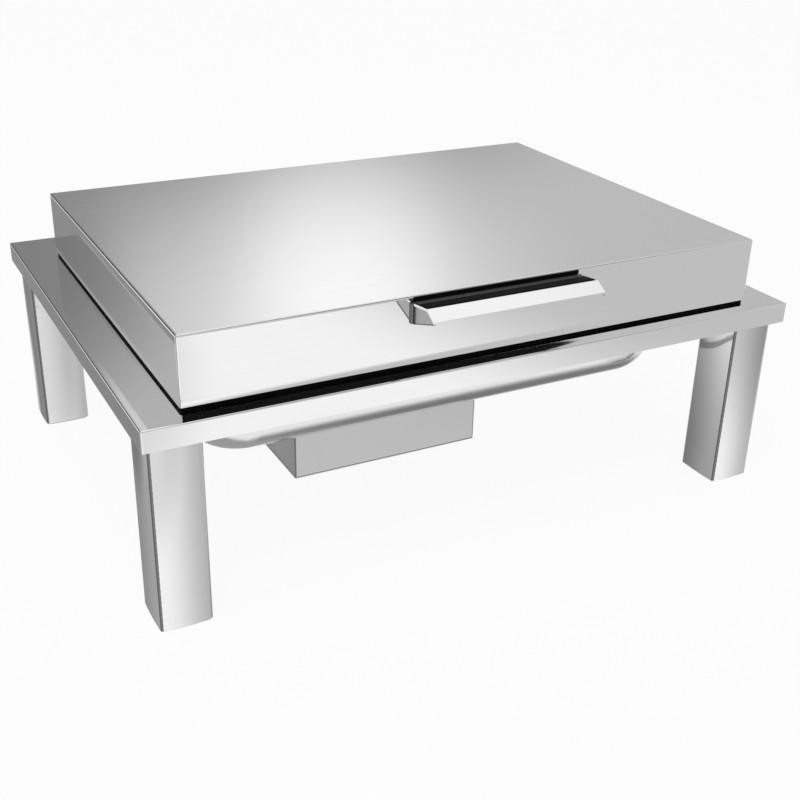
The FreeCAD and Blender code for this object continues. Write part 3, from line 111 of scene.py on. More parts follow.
class Graph:
    """A thin typed layer over one material's or world's nodes."""

    def __init__(self, tree: bpy.types.NodeTree) -> None:
        """Clear the tree.

        Args:
            tree: the node tree to build in.
        """
        self.tree = tree
        tree.nodes.clear()

    def node(self, kind: str, **settings: object) -> bpy.types.Node:
        """Add a node.

        Args:
            kind: the node's type name.
            settings: properties to set on it.

        Returns:
            The new node.
        """
        made = self.tree.nodes.new(kind)
        for key, value in settings.items():
            setattr(made, key, value)
        return made

    def plug(self, value: object, socket: Socket) -> None:
        """Link a socket into another one, or set its value.

        Args:
            value: a socket, a number or a colour.
            socket: the input that takes it.
        """
        if isinstance(value, Socket):
            self.tree.links.new(value, socket)
        elif isinstance(value, tuple) and len(value) == 3 and socket.type == "RGBA":
            socket.default_value = (*value, 1.0)
        else:
            socket.default_value = value

    def maths(self, operation: str, *values: object) -> Socket:
        """Return the result of one arithmetic step.

        Args:
            operation: the Math node's operation.
            values: its inputs in order, each a socket or a number.

        Returns:
            The result's socket.
        """
        made = self.node("ShaderNodeMath", operation=operation)
        for value, socket in zip(values, made.inputs):
            self.plug(value, socket)
        return made.outputs[0]

    def ramp(self, value: Socket, span: Pair, ends: Pair = (0.0, 1.0), kind: str = "LINEAR") -> Socket:
        """Return a value mapped from one span to another, and held at the ends.

        Args:
            value: what is mapped.
            span: where the ramp starts and ends.
            ends: the results there.
            kind: the node's interpolation.

        Returns:
            The mapped socket.
        """
        made = self.node("ShaderNodeMapRange", interpolation_type=kind)
        for item, socket in zip((value, *span, *ends), made.inputs):
            self.plug(item, socket)
        return made.outputs[0]

    def smooth(self, value: Socket, span: Pair, ends: Pair = (0.0, 1.0)) -> Socket:
        """Return a ramp that starts and ends gently, with the same arguments."""
        return self.ramp(value, span, ends, "SMOOTHSTEP")

    def mix(self, what: Mixed, share: object, first: object, second: object) -> Socket:
        """Return a mix of two values.

        Args:
            what: the kind of the values.
            share: 0 for the first, 1 for the second.
            first: a value or socket.
            second: a value or socket.

        Returns:
            The mix.
        """
        kind, settings, places, result = what.value
        made = self.node(kind, **settings)
        for value, place in zip((share, first, second), places):
            self.plug(value, made.inputs[place])
        return made.outputs[result]

    def places(self, stretch: Triple = UNSTRETCHED) -> Socket:
        """Return the piece's own coordinates, stretched along each axis.

        Args:
            stretch: factors for X, Y and Z.

        Returns:
            The coordinates.
        """
        source = self.node("ShaderNodeTexCoord").outputs["Object"]
        if stretch == UNSTRETCHED:
            return source
        made = self.node("ShaderNodeVectorMath", operation="MULTIPLY")
        self.plug(source, made.inputs[0])
        made.inputs[1].default_value = stretch
        return made.outputs[0]

    def axis(self, source: Socket, name: str) -> Socket:
        """Take a vector apart.

        Args:
            source: a vector.
            name: X, Y or Z.

        Returns:
            That part of it.
        """
        made = self.node("ShaderNodeSeparateXYZ")
        self.plug(source, made.inputs[0])
        return made.outputs[name]

    def noise(self, shape: Noise) -> Socket:
        """Return a noise between 0 and 1.

        Args:
            shape: what the noise is like.

        Returns:
            The noise's value.
        """
        made = self.node("ShaderNodeTexNoise")
        self.plug(self.places(shape.stretch), made.inputs["Vector"])
        made.inputs["Scale"].default_value = shape.scale
        made.inputs["Detail"].default_value = shape.detail
        made.inputs["Roughness"].default_value = shape.rough
        return made.outputs["Fac"]

    def bump(self, height: Socket, depth: float, below: Optional[Socket] = None) -> Socket:
        """Return a normal bent by a height.

        Args:
            height: the height, from 0 to 1.
            depth: what a height of 1 is in metres.
            below: a normal that this one is laid over.

        Returns:
            The normal.
        """
        made = self.node("ShaderNodeBump")
        self.plug(height, made.inputs["Height"])
        made.inputs["Distance"].default_value = depth
        made.inputs["Strength"].default_value = 1.0
        if below is not None:
            self.plug(below, made.inputs["Normal"])
        return made.outputs[0]

    def seen(self) -> Socket:
        """Tell by which rays the backdrop is seen.

        Returns:
            1 for rays that show the backdrop, 0 for those that only carry light from it.
        """
        rays = self.node("ShaderNodeLightPath").outputs
        straight = self.maths("MAXIMUM", rays["Is Camera Ray"], rays["Is Glossy Ray"])
        return self.maths("MAXIMUM", straight, rays["Is Transmission Ray"])

    def finish(self, shader: Socket, kind: str = "ShaderNodeOutputMaterial") -> None:
        """Link the shader to the output.

        Args:
            shader: what is shown.
            kind: the output node's type name.
        """
        self.plug(shader, self.node(kind).inputs[0])

    def principled(self, colour: object, roughness: object, normal: Socket, **numbers: float) -> None:
        """Add the surface shader and the output.

        Args:
            colour: base colour or its socket.
            roughness: roughness or its socket.
            normal: a bent normal.
            numbers: further inputs by name, with underscores for spaces.
        """
        shader = self.node("ShaderNodeBsdfPrincipled")
        self.plug(colour, shader.inputs["Base Color"])
        self.plug(roughness, shader.inputs["Roughness"])
        self.plug(normal, shader.inputs["Normal"])
        for key, value in numbers.items():
            shader.inputs[key.replace("_", " ")].default_value = value
        self.finish(shader.outputs[0])


def new_material(name: str) -> tuple[Material, Graph]:
    """Make an empty material.

    Args:
        name: its name.

    Returns:
        The material and its graph.
    """
    material = bpy.data.materials.new(name)
    material.use_nodes = True
    return material, Graph(material.node_tree)


# Finishes

WIPES = Noise(9.0, 4.0, 0.55, (1.0, 2.2, 1.4))
WIPE_SPAN: Pair = (0.35, 0.75)
SPECKS = Noise(420.0)
SPECK_SPREAD = 0.012
STREAK_SPAN: Pair = (0.2, 0.8)
STREAK_SHADE = 0.97
SATIN_EDGE = 0.0015
SATIN_SPREAD = 0.10
SMUDGES = Noise(35.0, 4.0, 0.6)
SMUDGE_SPAN: Pair = (0.45, 0.8)
GRAIN_SPREAD = 0.12


@dataclass(frozen=True)
class Steel:
    """Bare sheet metal with a grain, faint waviness, wipe marks and fine specks.

    Attributes:
        name: the material's name.
        tint: base colour.
        roughness: middle roughness of the polished faces.
        spread: how much wipe marks change the roughness.
        waviness: height of the sheet's broad unevenness, in metres.
        wave_scale: waves per metre of that unevenness.
        grain: the brushing's direction.
        grain_depth: height of the brushing, in metres.
        grain_scale: brush lines per metre.
        satin_from: height above which the sheet is satin, or None.
        satin_roughness: roughness of the satin face.
    """

    name: str
    tint: Triple = (0.90, 0.90, 0.905)
    roughness: float = 0.05
    spread: float = 0.03
    waviness: float = 0.00006
    wave_scale: float = 7.0
    grain: Grain = Grain.LENGTHWISE
    grain_depth: float = 0.0
    grain_scale: float = 900.0
    satin_from: Optional[float] = None
    satin_roughness: float = 0.22

    def material(self) -> Material:
        """Build the finish's nodes.

        Returns:
            The finished material.
        """
        material, graph = new_material(self.name)
        places = graph.places()
        streaks = graph.noise(Noise(self.grain_scale, detail=3.0, rough=0.65, stretch=self.grain.value))
        wipes = graph.smooth(graph.noise(WIPES), WIPE_SPAN)
        rough = graph.maths("MULTIPLY_ADD", wipes, self.spread, self.roughness - self.spread / 2)
        if self.satin_from is not None:
            satin = graph.smooth(graph.axis(places, "Z"), (self.satin_from - SATIN_EDGE, self.satin_from))
            least = self.satin_roughness - SATIN_SPREAD / 2
            brushed = graph.maths("MULTIPLY_ADD", streaks, SATIN_SPREAD, least)
            rough = graph.mix(Mixed.NUMBERS, satin, rough, brushed)
        rough = graph.maths("MULTIPLY_ADD", graph.noise(SPECKS), SPECK_SPREAD, rough)
        darker = tuple(value * STREAK_SHADE for value in self.tint)
        shade = graph.mix(Mixed.COLOURS, graph.ramp(streaks, STREAK_SPAN), darker, self.tint)
        normal = graph.bump(graph.noise(Noise(self.wave_scale, detail=1.0, rough=0.4)), self.waviness)
        if self.grain_depth > 0.0:
            normal = graph.bump(streaks, self.grain_depth, normal)
        graph.principled(self.with_painted_shade(graph, places, shade), rough, self.relief(graph, places, normal),
                         Metallic=1.0)
        return material

    def with_painted_shade(self, graph: Graph, places: Socket, shade: Socket) -> Socket:
        """Return the base colour with any painted shade laid over it; plain sheet has none."""
        return shade

    def relief(self, graph: Graph, places: Socket, normal: Socket) -> Socket:
        """Return the normal with the sheet's formed relief; flat sheet has none."""
        return normal


@dataclass(frozen=True)
class LegSteel(Steel):
    """Polished sheet with painted shade: the base colour darkens across each leg face, away from the folded
    corner.

    Attributes:
        middle: x and y of a leg's middle from the four legs' common middle, in metres.
        half: half the leg's width and depth.
        shift_y: how far that common middle lies behind the origin.
        painted_shade_colour: base colour at a face's far edge, where the painted shade is darkest.
        painted_shade_from: where the painted shade starts, from -1 at the corner to 1 at the far edge.
        painted_shade_to: where it is full.
    """

    middle: Pair = (0.288, 0.2055)
    half: Pair = (0.0225, 0.025)
    shift_y: float = 0.0095
    painted_shade_colour: Triple = (0.44, 0.44, 0.443)
    painted_shade_from: float = -1.0
    painted_shade_to: float = 1.15

    def across(self, graph: Graph, place: Socket, middle: float, half: float) -> Socket:
        """Return a place along one axis within its leg, from -1 to 1.

        Args:
            graph: the material's graph.
            place: the place from the four legs' common middle.
            middle: how far out the leg's middle lies.
            half: half the leg's size.

        Returns:
            The place within the leg.
        """
        side = graph.maths("MULTIPLY", graph.maths("SIGN", place), middle)
        return graph.maths("DIVIDE", graph.maths("SUBTRACT", place, side), half)

    def with_painted_shade(self, graph: Graph, places: Socket, shade: Socket) -> Socket:
        """Paint shade into the base colour, darker towards each face's far edge.

        Args:
            graph: the material's graph.
            places: the piece's own coordinates.
            shade: the plain base colour.

        Returns:
            The base colour with the painted shade.
        """
        # Painted shade: each face darkens from its folded corner to its far edge.
        facing = graph.node("ShaderNodeNewGeometry").outputs["Normal"]
        place_y = graph.maths("SUBTRACT", graph.axis(places, "Y"), self.shift_y)
        along_x = self.across(graph, graph.axis(places, "X"), self.middle[0], self.half[0])
        along_y = self.across(graph, place_y, self.middle[1], self.half[1])
        front = graph.maths("MULTIPLY", along_x, graph.axis(facing, "Y"))
        side = graph.maths("MULTIPLY", along_y, graph.axis(facing, "X"))
        share = graph.maths("MULTIPLY", graph.maths("ADD", front, side), -1.0)
        return graph.mix(Mixed.COLOURS, graph.smooth(share, (self.painted_shade_from, self.painted_shade_to)), shade, self.painted_shade_colour)


@dataclass(frozen=True)
class LidSteel(Steel):
    """The lid's sheet, whose walls flare a little at the bottom hem.

    Attributes:
        hem_top: height where the flare starts, in metres.
        hem_height: height of the flare.
        flare: how far the sheet stands out at the bottom.
    """

    hem_top: float = 0.1995
    hem_height: float = 0.0065
    flare: float = 0.00060

    def relief(self, graph: Graph, places: Socket, normal: Socket) -> Socket:
        """Bend the normal by the hem's flare.

        Args:
            graph: the material's graph.
            places: the piece's own coordinates.
            normal: the normal without it.

        Returns:
            The bent normal.
        """
        hem = (self.hem_top - self.hem_height, self.hem_top)
        below = graph.ramp(graph.axis(places, "Z"), hem, (1.0, 0.0))
        return graph.bump(graph.maths("MULTIPLY", below, below), self.flare, normal)


@dataclass(frozen=True)
class Moulded:
    """Plastic, rubber, silicone or fibre, with a fine surface grain.

    Attributes:
        name: the material's name.
        tint: base colour.
        dust: colour of the lighter, worn or dusty places.
        roughness: middle roughness.
        grain_depth: height of the surface grain, in metres.
        grain_scale: grains per metre.
        wear: share of the dusty colour.
        ior: index of refraction.
    """

    name: str
    tint: Triple
    dust: Triple
    roughness: float = 0.5
    grain_depth: float = 0.00004
    grain_scale: float = 1800.0
    wear: float = 0.3
    ior: float = 1.5

    def material(self) -> Material:
        """Build the finish's nodes.

        Returns:
            The finished material.
        """
        material, graph = new_material(self.name)
        grain = graph.noise(Noise(self.grain_scale, detail=3.0, rough=0.6))
        smudges = graph.smooth(graph.noise(SMUDGES), SMUDGE_SPAN, (0.0, self.wear))
        rough = graph.maths("MULTIPLY_ADD", grain, GRAIN_SPREAD, self.roughness - GRAIN_SPREAD / 2)
        colour = graph.mix(Mixed.COLOURS, smudges, self.tint, self.dust)
        graph.principled(colour, rough, graph.bump(grain, self.grain_depth), IOR=self.ior)
        return material


@dataclass(frozen=True)
class Lens:
    """A clear coloured lens with fine ribs.

    Attributes:
        name: the material's name.
        tint: colour of the light that passes.
        ribs: the ribs' shape.
        rib_depth: their height, in metres.
        roughness: least and greatest roughness.
        ior: index of refraction.
        clearness: share of the light that passes.
    """

    name: str
    tint: Triple
    ribs: Noise = Noise(900.0, 1.0, 0.5, (1.0, 0.1, 1.0))
    rib_depth: float = 0.00003
    roughness: Pair = (0.06, 0.16)
    ior: float = 1.49
    clearness: float = 0.75

    def material(self) -> Material:
        """Build the finish's nodes.

        Returns:
            The finished material.
        """
        material, graph = new_material(self.name)
        ribs = graph.noise(self.ribs)
        rough = graph.ramp(ribs, (0.0, 1.0), self.roughness)
        graph.principled(self.tint, rough, graph.bump(ribs, self.rib_depth), IOR=self.ior,
                         Transmission_Weight=self.clearness)
        return material


SMALL_WAVES = {"waviness": 0.00001, "wave_scale": 60.0, "grain": Grain.CAST}

POLISHED = Steel("polished_steel")
# The legs' steel, with shade painted across each face.
LEG_STEEL_PAINTED_SHADE = LegSteel("leg_steel_painted_shade")
LID_STEEL = LidSteel("lid_steel", satin_from=0.2530)
END_STEEL = Steel("handle_end_steel", tint=(0.42, 0.42, 0.425), roughness=0.28, spread=0.06,
                  grain=Grain.CROSSWISE, grain_depth=0.000006)
SATIN = Steel("satin_steel", tint=(0.62, 0.62, 0.625), roughness=0.24, spread=0.05, grain_depth=0.000004)
# The heater housing's dark tint is partly its duller satin finish and partly painted shade: the shadow under
# the dish that its front would mirror.
BOX_STEEL_PAINTED_SHADE = Steel("box_steel_painted_shade", tint=(0.53, 0.53, 0.535), roughness=0.26, spread=0.05, grain_depth=0.000004)
DRAWN = Steel("drawn_steel", tint=(0.80, 0.80, 0.805), roughness=0.16, spread=0.05, waviness=0.00005,
              grain=Grain.UPRIGHT, grain_depth=0.000003)
MILL = Steel("mill_steel", tint=(0.62, 0.62, 0.625), roughness=0.30, spread=0.10, grain_depth=0.000006)
# Weld beads: the shape is a real weld, but the near-black tint is painted shade, the dark lines that folded
# corners, edges and gaps show.
WELD_PAINTED_SHADE = Steel("weld_bead_painted_shade", tint=(0.20, 0.20, 0.205), roughness=0.34, spread=0.12, waviness=0.00002,
             wave_scale=400.0, grain=Grain.CAST)
ZINC = Steel("zinc_steel", tint=(0.66, 0.665, 0.69), roughness=0.26, spread=0.10, **SMALL_WAVES)
CAST = Steel("cast_aluminium", tint=(0.70, 0.70, 0.71), roughness=0.45, spread=0.12, waviness=0.00005,
             wave_scale=90.0, grain=Grain.CAST, grain_depth=0.00003, grain_scale=1200.0)
SHEATH = Steel("dark_sheath", tint=(0.16, 0.15, 0.14), roughness=0.42, spread=0.12, **SMALL_WAVES)
BRONZE = Steel("bronze", tint=(0.62, 0.40, 0.20), roughness=0.30, spread=0.08, **SMALL_WAVES)
RUBBER = Moulded("black_rubber", (0.020, 0.020, 0.021), (0.075, 0.073, 0.070), 0.72, wear=0.45)
# Near-black silicone: the lid seal is partly a real gasket and partly painted shade under the lid; the handle
# strips are painted shade.
SILICONE_AND_PAINTED_SHADE = Moulded("black_silicone", (0.005, 0.005, 0.006), (0.012, 0.012, 0.012), 0.55, 0.00001, 900.0,
                   0.2, 1.1)
# Grey silicone for the handle's inlay, a band of painted shade.
GREY_SILICONE_PAINTED_SHADE = Moulded("grey_silicone_painted_shade", (0.050, 0.050, 0.052), (0.08, 0.08, 0.08), 0.55, 0.00001, 900.0,
                        0.2, 1.3)
PLASTIC = Moulded("black_plastic", (0.022, 0.022, 0.024), (0.055, 0.055, 0.056), 0.48, 0.00003, 2600.0, 0.2)
GLOSS_PLASTIC = Moulded("black_gloss_plastic", (0.016, 0.016, 0.018), (0.03, 0.03, 0.032), 0.14, 0.000004,
                        500.0, 0.15)
INK = Moulded("white_ink", (0.80, 0.80, 0.78), (0.62, 0.61, 0.58), 0.55, 0.000004, 3000.0, 0.4)
DARK_INK = Moulded("dark_ink", (0.030, 0.030, 0.032), (0.10, 0.10, 0.10), 0.50, 0.000004, 3000.0, 0.4)
FIBRE = Moulded("fibre_board", (0.70, 0.66, 0.58), (0.82, 0.79, 0.72), 0.92, 0.00025, 700.0, 0.6)
SLEEVE = Moulded("lead_sleeve", (0.60, 0.58, 0.53), (0.40, 0.38, 0.34), 0.62, 0.00008, 1500.0, 0.3)
RED_LENS = Lens("red_lens", (0.75, 0.03, 0.02))

Finish = Steel | Moulded | Lens
Finishes = tuple[tuple[Finish, tuple[str, ...]], ...]


@cache
def material_of(finish: Finish) -> Material:
    """Return the finish's material, which is made at its first use."""
    return finish.material()


# Mesh work


def add_object(name: str, data: bpy.types.ID) -> Piece:
    """Put a new object into the scene.

    Args:
        name: its name.
        data: its mesh, light or camera.

    Returns:
        The object.
    """
    made = bpy.data.objects.new(name, data)
    bpy.context.scene.collection.objects.link(made)
    return made


def finish_mesh(name: str, build: BMesh, finish: Finish, body: Body) -> Piece:
    """Turn a built mesh into a piece that rides on a body.

    Args:
        name: the piece's name.
        build: the mesh, in metres in the part's frame.
        finish: what its surface is like.
        body: the body it rides on.

    Returns:
        The new piece.
    """
    bmesh.ops.recalc_face_normals(build, faces=build.faces[:])
    mesh = bpy.data.meshes.new(name)
    build.to_mesh(mesh)
    build.free()
    mesh.materials.append(material_of(finish))
    piece = add_object(name, mesh)
    mesh.shade_smooth()
    mesh.set_sharp_from_angle(angle=math.radians(SMOOTH_DEGREES))
    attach(piece, body.value)
    log.info("built %s: %d faces, rides on %s", name, len(mesh.polygons), body.value)
    return piece


def lathe(build: BMesh, profile: Sequence[Pair], place: Matrix, turns: int = LATHE_STEPS) -> None:
    """Add a closed ring swept round an axis.

    Args:
        build: the mesh that takes it.
        profile: closed loop of (radius, height) points.
        place: puts the ring's own Z axis into the part's frame.
        turns: steps round the axis.
    """
    loops = []
    for turn in range(turns):
        angle = 2 * math.pi * turn / turns
        loops.append([build.verts.new(place @ Vector((r * math.cos(angle), r * math.sin(angle), h)))
                      for r, h in profile])
    count = len(profile)
    for turn in range(turns):
        here, beyond = loops[turn], loops[(turn + 1) % turns]
        for index in range(count):
            following = (index + 1) % count
            build.faces.new((here[index], beyond[index], beyond[following], here[following]))


def bar(build: BMesh, low: Vector, high: Vector, bevel: float,
        place: Matrix = Matrix.Identity(4)) -> None:
    """Add a box with rounded edges.

    Args:
        build: the mesh that takes it.
        low: lowest corner.
        high: highest corner.
        bevel: radius of its edges.
        place: moves the box afterwards.
    """
    cube = Matrix.Translation((low + high) / 2) @ Matrix.Diagonal((*(high - low), 1.0))
    made = bmesh.ops.create_cube(build, size=1.0, matrix=cube)["verts"]
    edges = list({edge for vert in made for edge in vert.link_edges})
    rounded = bmesh.ops.bevel(build, geom=edges, offset=bevel, segments=BEVEL_STEPS, profile=0.5,
                              affect="EDGES")
    verts = {vert for face in rounded["faces"] for vert in face.verts}
    verts |= {vert for vert in made if vert.is_valid}
    bmesh.ops.transform(build, matrix=place, verts=[vert for vert in verts if vert.is_valid])


def weld(build: BMesh, start: Vector, end: Vector, radius: float, ripples: int) -> None:
    """Add a straight weld bead with a rippled surface.

    Args:
        build: the mesh that takes it.
        start: one end of its middle line.
        end: the other end.
        radius: its radius.
        ripples: how many swells it has along its length.
    """
    run = end - start
    place = Matrix.Translation(start) @ run.to_track_quat("Z", "Y").to_matrix().to_4x4()
    profile = [(WELD_TIP * radius, 0.0)]
    for step in range(ripples + 1):
        swell = WELD_SWELL * radius * math.cos(math.pi * step)
        profile.append((radius + swell, run.length * step / ripples))
    profile.append((WELD_TIP * radius, run.length))
    lathe(build, profile, place, WELD_STEPS)


# The dish

LEGS = ("leg_front_left", "leg_front_right", "leg_rear_left", "leg_rear_right")


@dataclass
class SubAssembly:
    """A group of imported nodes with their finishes, and the small trim that is added to them.

    Attributes:
        title: what the log calls it.
        finishes: each finish with the nodes that take it.
    """

    title: str = ""
    finishes: Finishes = ()

    def dress(self) -> None:
        """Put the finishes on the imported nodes."""
        for finish, nodes in self.finishes:
            for node in nodes:
                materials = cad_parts[node].data.materials
                materials.clear()
                materials.append(material_of(finish))

    def trim(self) -> list[Piece]:
        """Return the pieces added to the nodes; this kind has none."""
        return []

    def build(self) -> None:
        """Dress the nodes, add the trim and report both."""
        self.dress()
        pieces = self.trim()
        nodes = sum(len(names) for _, names in self.finishes)
        log.info("%s: %d nodes dressed, %d pieces added", self.title, nodes, len(pieces))


@dataclass
class Lid(SubAssembly):
    """The box lid with its seal and the drip rim inside it."""

    title: str = "lid"
    finishes: Finishes = (
        (LID_STEEL, ("lid_shell",)),
        # The near-black seal is partly a real gasket and partly painted shade, the dark band at the lid's
        # foot.
        (SILICONE_AND_PAINTED_SHADE, ("lid_seal",)),
        (MILL, ("lid_drip_rim",)),
    )


@dataclass
class Handle(SubAssembly):
    """The folded grip on the lid's front, with its end plates, screws, and black and grey strips on its top
    that paint the shade there.

    Attributes:
        root_drop: how far the gutter's root lies below the grip's fold.
        gutter: width of the gutter between the wall and the fold.
        strip_height: thickness of the strips.
        wall_strip: lower and upper edge of the strip on the wall, above the root.
        inlay: the soft inlay's edges, from the wall.
        front_strip: the front strip's edges, from the wall.
        strip_ends: how far the strips stop short of the grip's ends.
        strip_sink: how far the strips reach into the sheet.
        strip_bevel: radius of the strips' edges.
        corner_weld: radius of the weld where an end plate meets the wall.
        corner_out: how far its middle stands out, as a share of half the plate's thickness.
        corner_sink: how far its middle lies within the wall.
        corner_ends: how far it stops short of the plate's foot and top.
        edge_weld: radius of the weld along an end plate's other edges.
        toe_rise: height of the plate's toe above its foot.
        fold_back: how far the plate's fold lies behind its toe.
        ripples: swells along the corner, from foot to toe and from toe to fold.
    """

    title: str = "handle"
    finishes: Finishes = (
        (POLISHED, ("handle_grip",)),
        (END_STEEL, ("handle_end_left", "handle_end_right")),
        (ZINC, ("handle_screws", "handle_nuts")),
    )
    root_drop: float = 3.456 * MM
    gutter: float = 25.6 * MM
    strip_height: float = 0.6 * MM
    wall_strip: Pair = (0.7 * MM, 4.7 * MM)
    inlay: Pair = (1.0 * MM, 10.0 * MM)
    front_strip: Pair = (10.0 * MM, 24.4 * MM)
    strip_ends: float = 1.6 * MM
    strip_sink: float = 0.05 * MM
    strip_bevel: float = 0.2 * MM
    corner_weld: float = 1.5 * MM
    corner_out: float = 0.8
    corner_sink: float = 0.9 * MM
    corner_ends: Pair = (0.4 * MM, 1.6 * MM)
    edge_weld: float = 0.45 * MM
    toe_rise: float = 12.2 * MM
    fold_back: float = 12.4 * MM
    ripples: tuple[int, int, int] = (14, 40, 16)

    def strip(self, build: BMesh, span: Pair, place: Matrix) -> None:
        """Add one strip over the gutter.

        Args:
            build: the mesh that takes it.
            span: its edges, measured from the wall.
            place: puts the gutter's own axes into the part's frame.
        """
        low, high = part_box("handle_grip")
        bar(build, Vector((low[0] + self.strip_ends, -span[1], -self.strip_sink)),
            Vector((high[0] - self.strip_ends, -span[0], self.strip_height)), self.strip_bevel, place)

    def strips(self) -> list[Piece]:
        """Lay the black strips and the grey inlay between them, painted shade in dark and grey bands on the
        handle's top.

        Returns:
            Both pieces.
        """
        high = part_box("handle_grip")[1]
        root = Matrix.Translation((0.0, high[1], high[2] - self.root_drop))
        gutter = root @ Matrix.Rotation(-math.atan2(self.root_drop, self.gutter), 4, "X")
        wall = root @ Matrix.Rotation(math.radians(90), 4, "X")
        # Painted shade: black and grey strips stand for the dark bands on the grip's top.
        black = bmesh.new()
        self.strip(black, self.front_strip, gutter)
        self.strip(black, (-self.wall_strip[1], -self.wall_strip[0]), wall)
        grey = bmesh.new()
        self.strip(grey, self.inlay, gutter)
        return [finish_mesh("handle_shade_strips", black, SILICONE_AND_PAINTED_SHADE, Body.LID),
                finish_mesh("handle_shade_inlay", grey, GREY_SILICONE_PAINTED_SHADE, Body.LID)]

    def end_weld(self, side: str) -> Piece:
        """Return the weld round one end plate, whose dark tint paints the shadow gap at the wall and along
        the plate's edges.

        Args:
            side: left or right.

        Returns:
            The new piece.
        """
        low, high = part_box(f"handle_end_{side}")
        face_x = low[0] if side == "left" else high[0]
        foot = Vector((face_x, high[1], low[2]))
        toe = Vector((face_x, low[1], low[2] + self.toe_rise))
        fold = Vector((face_x, low[1] + self.fold_back, high[2]))
        outward = (face_x - (low[0] + high[0]) / 2) * self.corner_out
        corner = Vector((face_x + outward, foot.y + self.corner_sink, foot.z + self.corner_ends[0]))
        top = Vector((corner.x, corner.y, high[2] - self.corner_ends[1]))
        build = bmesh.new()
        weld(build, corner, top, self.corner_weld, self.ripples[0])
        weld(build, foot, toe, self.edge_weld, self.ripples[1])
        weld(build, toe, fold, self.edge_weld, self.ripples[2])
        return finish_mesh(f"handle_end_{side}_weld", build, WELD_PAINTED_SHADE, Body.LID)

    def trim(self) -> list[Piece]:
        """Return the strips and the welds of both end plates."""
        return self.strips() + [self.end_weld(side) for side in ("left", "right")]


@dataclass
class Stand(SubAssembly):
    """The stand top on its four folded legs.

    Attributes:
        seam_inset: how far the seam's middle lies inside the leg's box.
        seam_radius: radius of the seam's weld.
        seam_ends: how far the weld stops short of the leg's ends.
        seam_ripples: swells along it.
    """

    title: str = "stand"
    finishes: Finishes = (
        (POLISHED, ("stand_top",)),
        (LEG_STEEL_PAINTED_SHADE, LEGS),
        (MILL, ("corner_plates",)),
        (ZINC, ("leg_studs", "leg_washers", "leg_nuts")),
        (RUBBER, ("feet",)),
    )
    seam_inset: float = 2.3 * MM
    seam_radius: float = 1.68 * MM
    seam_ends: float = 0.6 * MM
    seam_ripples: int = 60

    def trim(self) -> list[Piece]:
        """Weld each leg's folded corner with a dark bead that paints the corner's dark reflected line.

        Returns:
            One piece for each leg.
        """
        pieces = []
        for leg in LEGS:
            low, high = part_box(leg)
            build = bmesh.new()
            foot = Vector((low[0] + self.seam_inset, low[1] + self.seam_inset, low[2] + self.seam_ends))
            top = Vector((foot.x, foot.y, high[2] - self.seam_ends))
            weld(build, foot, top, self.seam_radius, self.seam_ripples)
            pieces.append(finish_mesh(f"{leg}_seam", build, WELD_PAINTED_SHADE, Body.STAND))
        return pieces


@dataclass
class Pans(SubAssembly):
    """The food pan and the water pan."""

    title: str = "pans"
    finishes: Finishes = ((DRAWN, ("food_pan", "water_pan")),)


@dataclass
class Hinges(SubAssembly):
    """The two damped hinges between the lid and the stand."""

    title: str = "hinges"
    finishes: Finishes = (
        (SATIN, ("hinge_bracket_left", "hinge_bracket_right", "hinge_leaf_left", "hinge_leaf_right")),
        (MILL, ("hinge_pins", "hinge_spacers")),
        (BRONZE, ("hinge_bushes",)),
        (PLASTIC, ("hinge_dampers",)),
        (ZINC, ("hinge_pin_clips", "hinge_bracket_screws", "hinge_bracket_nuts", "hinge_leaf_screws")),
    )


@dataclass
class Heater(SubAssembly):
    """The heater box under the water pan and everything inside it.

    Attributes:
        corner_inset: how far a corner weld's middle lies inside the housing's box.
        corner_radius: radius of the corner welds.
        corner_ripples: swells along one of them.
        foot_radius: radius of the welds along the housing's foot.
        foot_sink: share of that radius by which a foot weld's middle lies inside the box.
        foot_ripples: swells along one of them.
    """

    title: str = "heater"
    finishes: Finishes = (
        # The housing's darker tint holds painted shade.
        (BOX_STEEL_PAINTED_SHADE, ("heater_housing",)),
        (MILL, ("heater_base_plate", "element_clamp", "element_clamp_sleeves", "heater_support_bars")),
        (ZINC, ("heater_base_screws", "element_clamp_screws", "pan_studs", "housing_nuts",
                "support_bar_nuts")),
        (CAST, ("heating_plate",)),
        (SHEATH, ("heating_element",)),
        (BRONZE, ("sensor_bulb", "sensor_capillary")),
        (FIBRE, ("insulation_pad",)),
        (SLEEVE, ("heater_leads",)),
    )
    corner_inset: float = 0.75 * MM
    corner_radius: float = 0.85 * MM
    corner_ripples: int = 50
    foot_radius: float = 0.55 * MM
    foot_sink: float = 0.6
    foot_ripples: int = 160

    def trim(self) -> list[Piece]:
        """Weld the housing's corners and its foot, with dark beads that paint the dark lines those edges
        mirror.

        Returns:
            The one piece that holds them.
        """
        low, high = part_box("heater_housing")
        left, right = low[0] + self.corner_inset, high[0] - self.corner_inset
        front, rear = low[1] + self.corner_inset, high[1] - self.corner_inset
        sides = [(left, front, Vector((0.0, -1.0, 0.0))), (right, front, Vector((1.0, 0.0, 0.0))),
                 (right, rear, Vector((0.0, 1.0, 0.0))), (left, rear, Vector((-1.0, 0.0, 0.0)))]
        build = bmesh.new()
        for (x, y, facing), (next_x, next_y, _) in zip(sides, sides[1:] + sides[:1]):
            foot, onward = Vector((x, y, low[2])), Vector((next_x, next_y, low[2]))
            top = Vector((x, y, high[2] - self.corner_radius))
            outward = facing * (self.corner_inset - self.foot_radius * self.foot_sink)
            weld(build, foot, top, self.corner_radius, self.corner_ripples)
            weld(build, foot + outward, onward + outward, self.foot_radius, self.foot_ripples)
        return [finish_mesh("heater_housing_welds", build, WELD_PAINTED_SHADE, Body.WATER_PAN)]


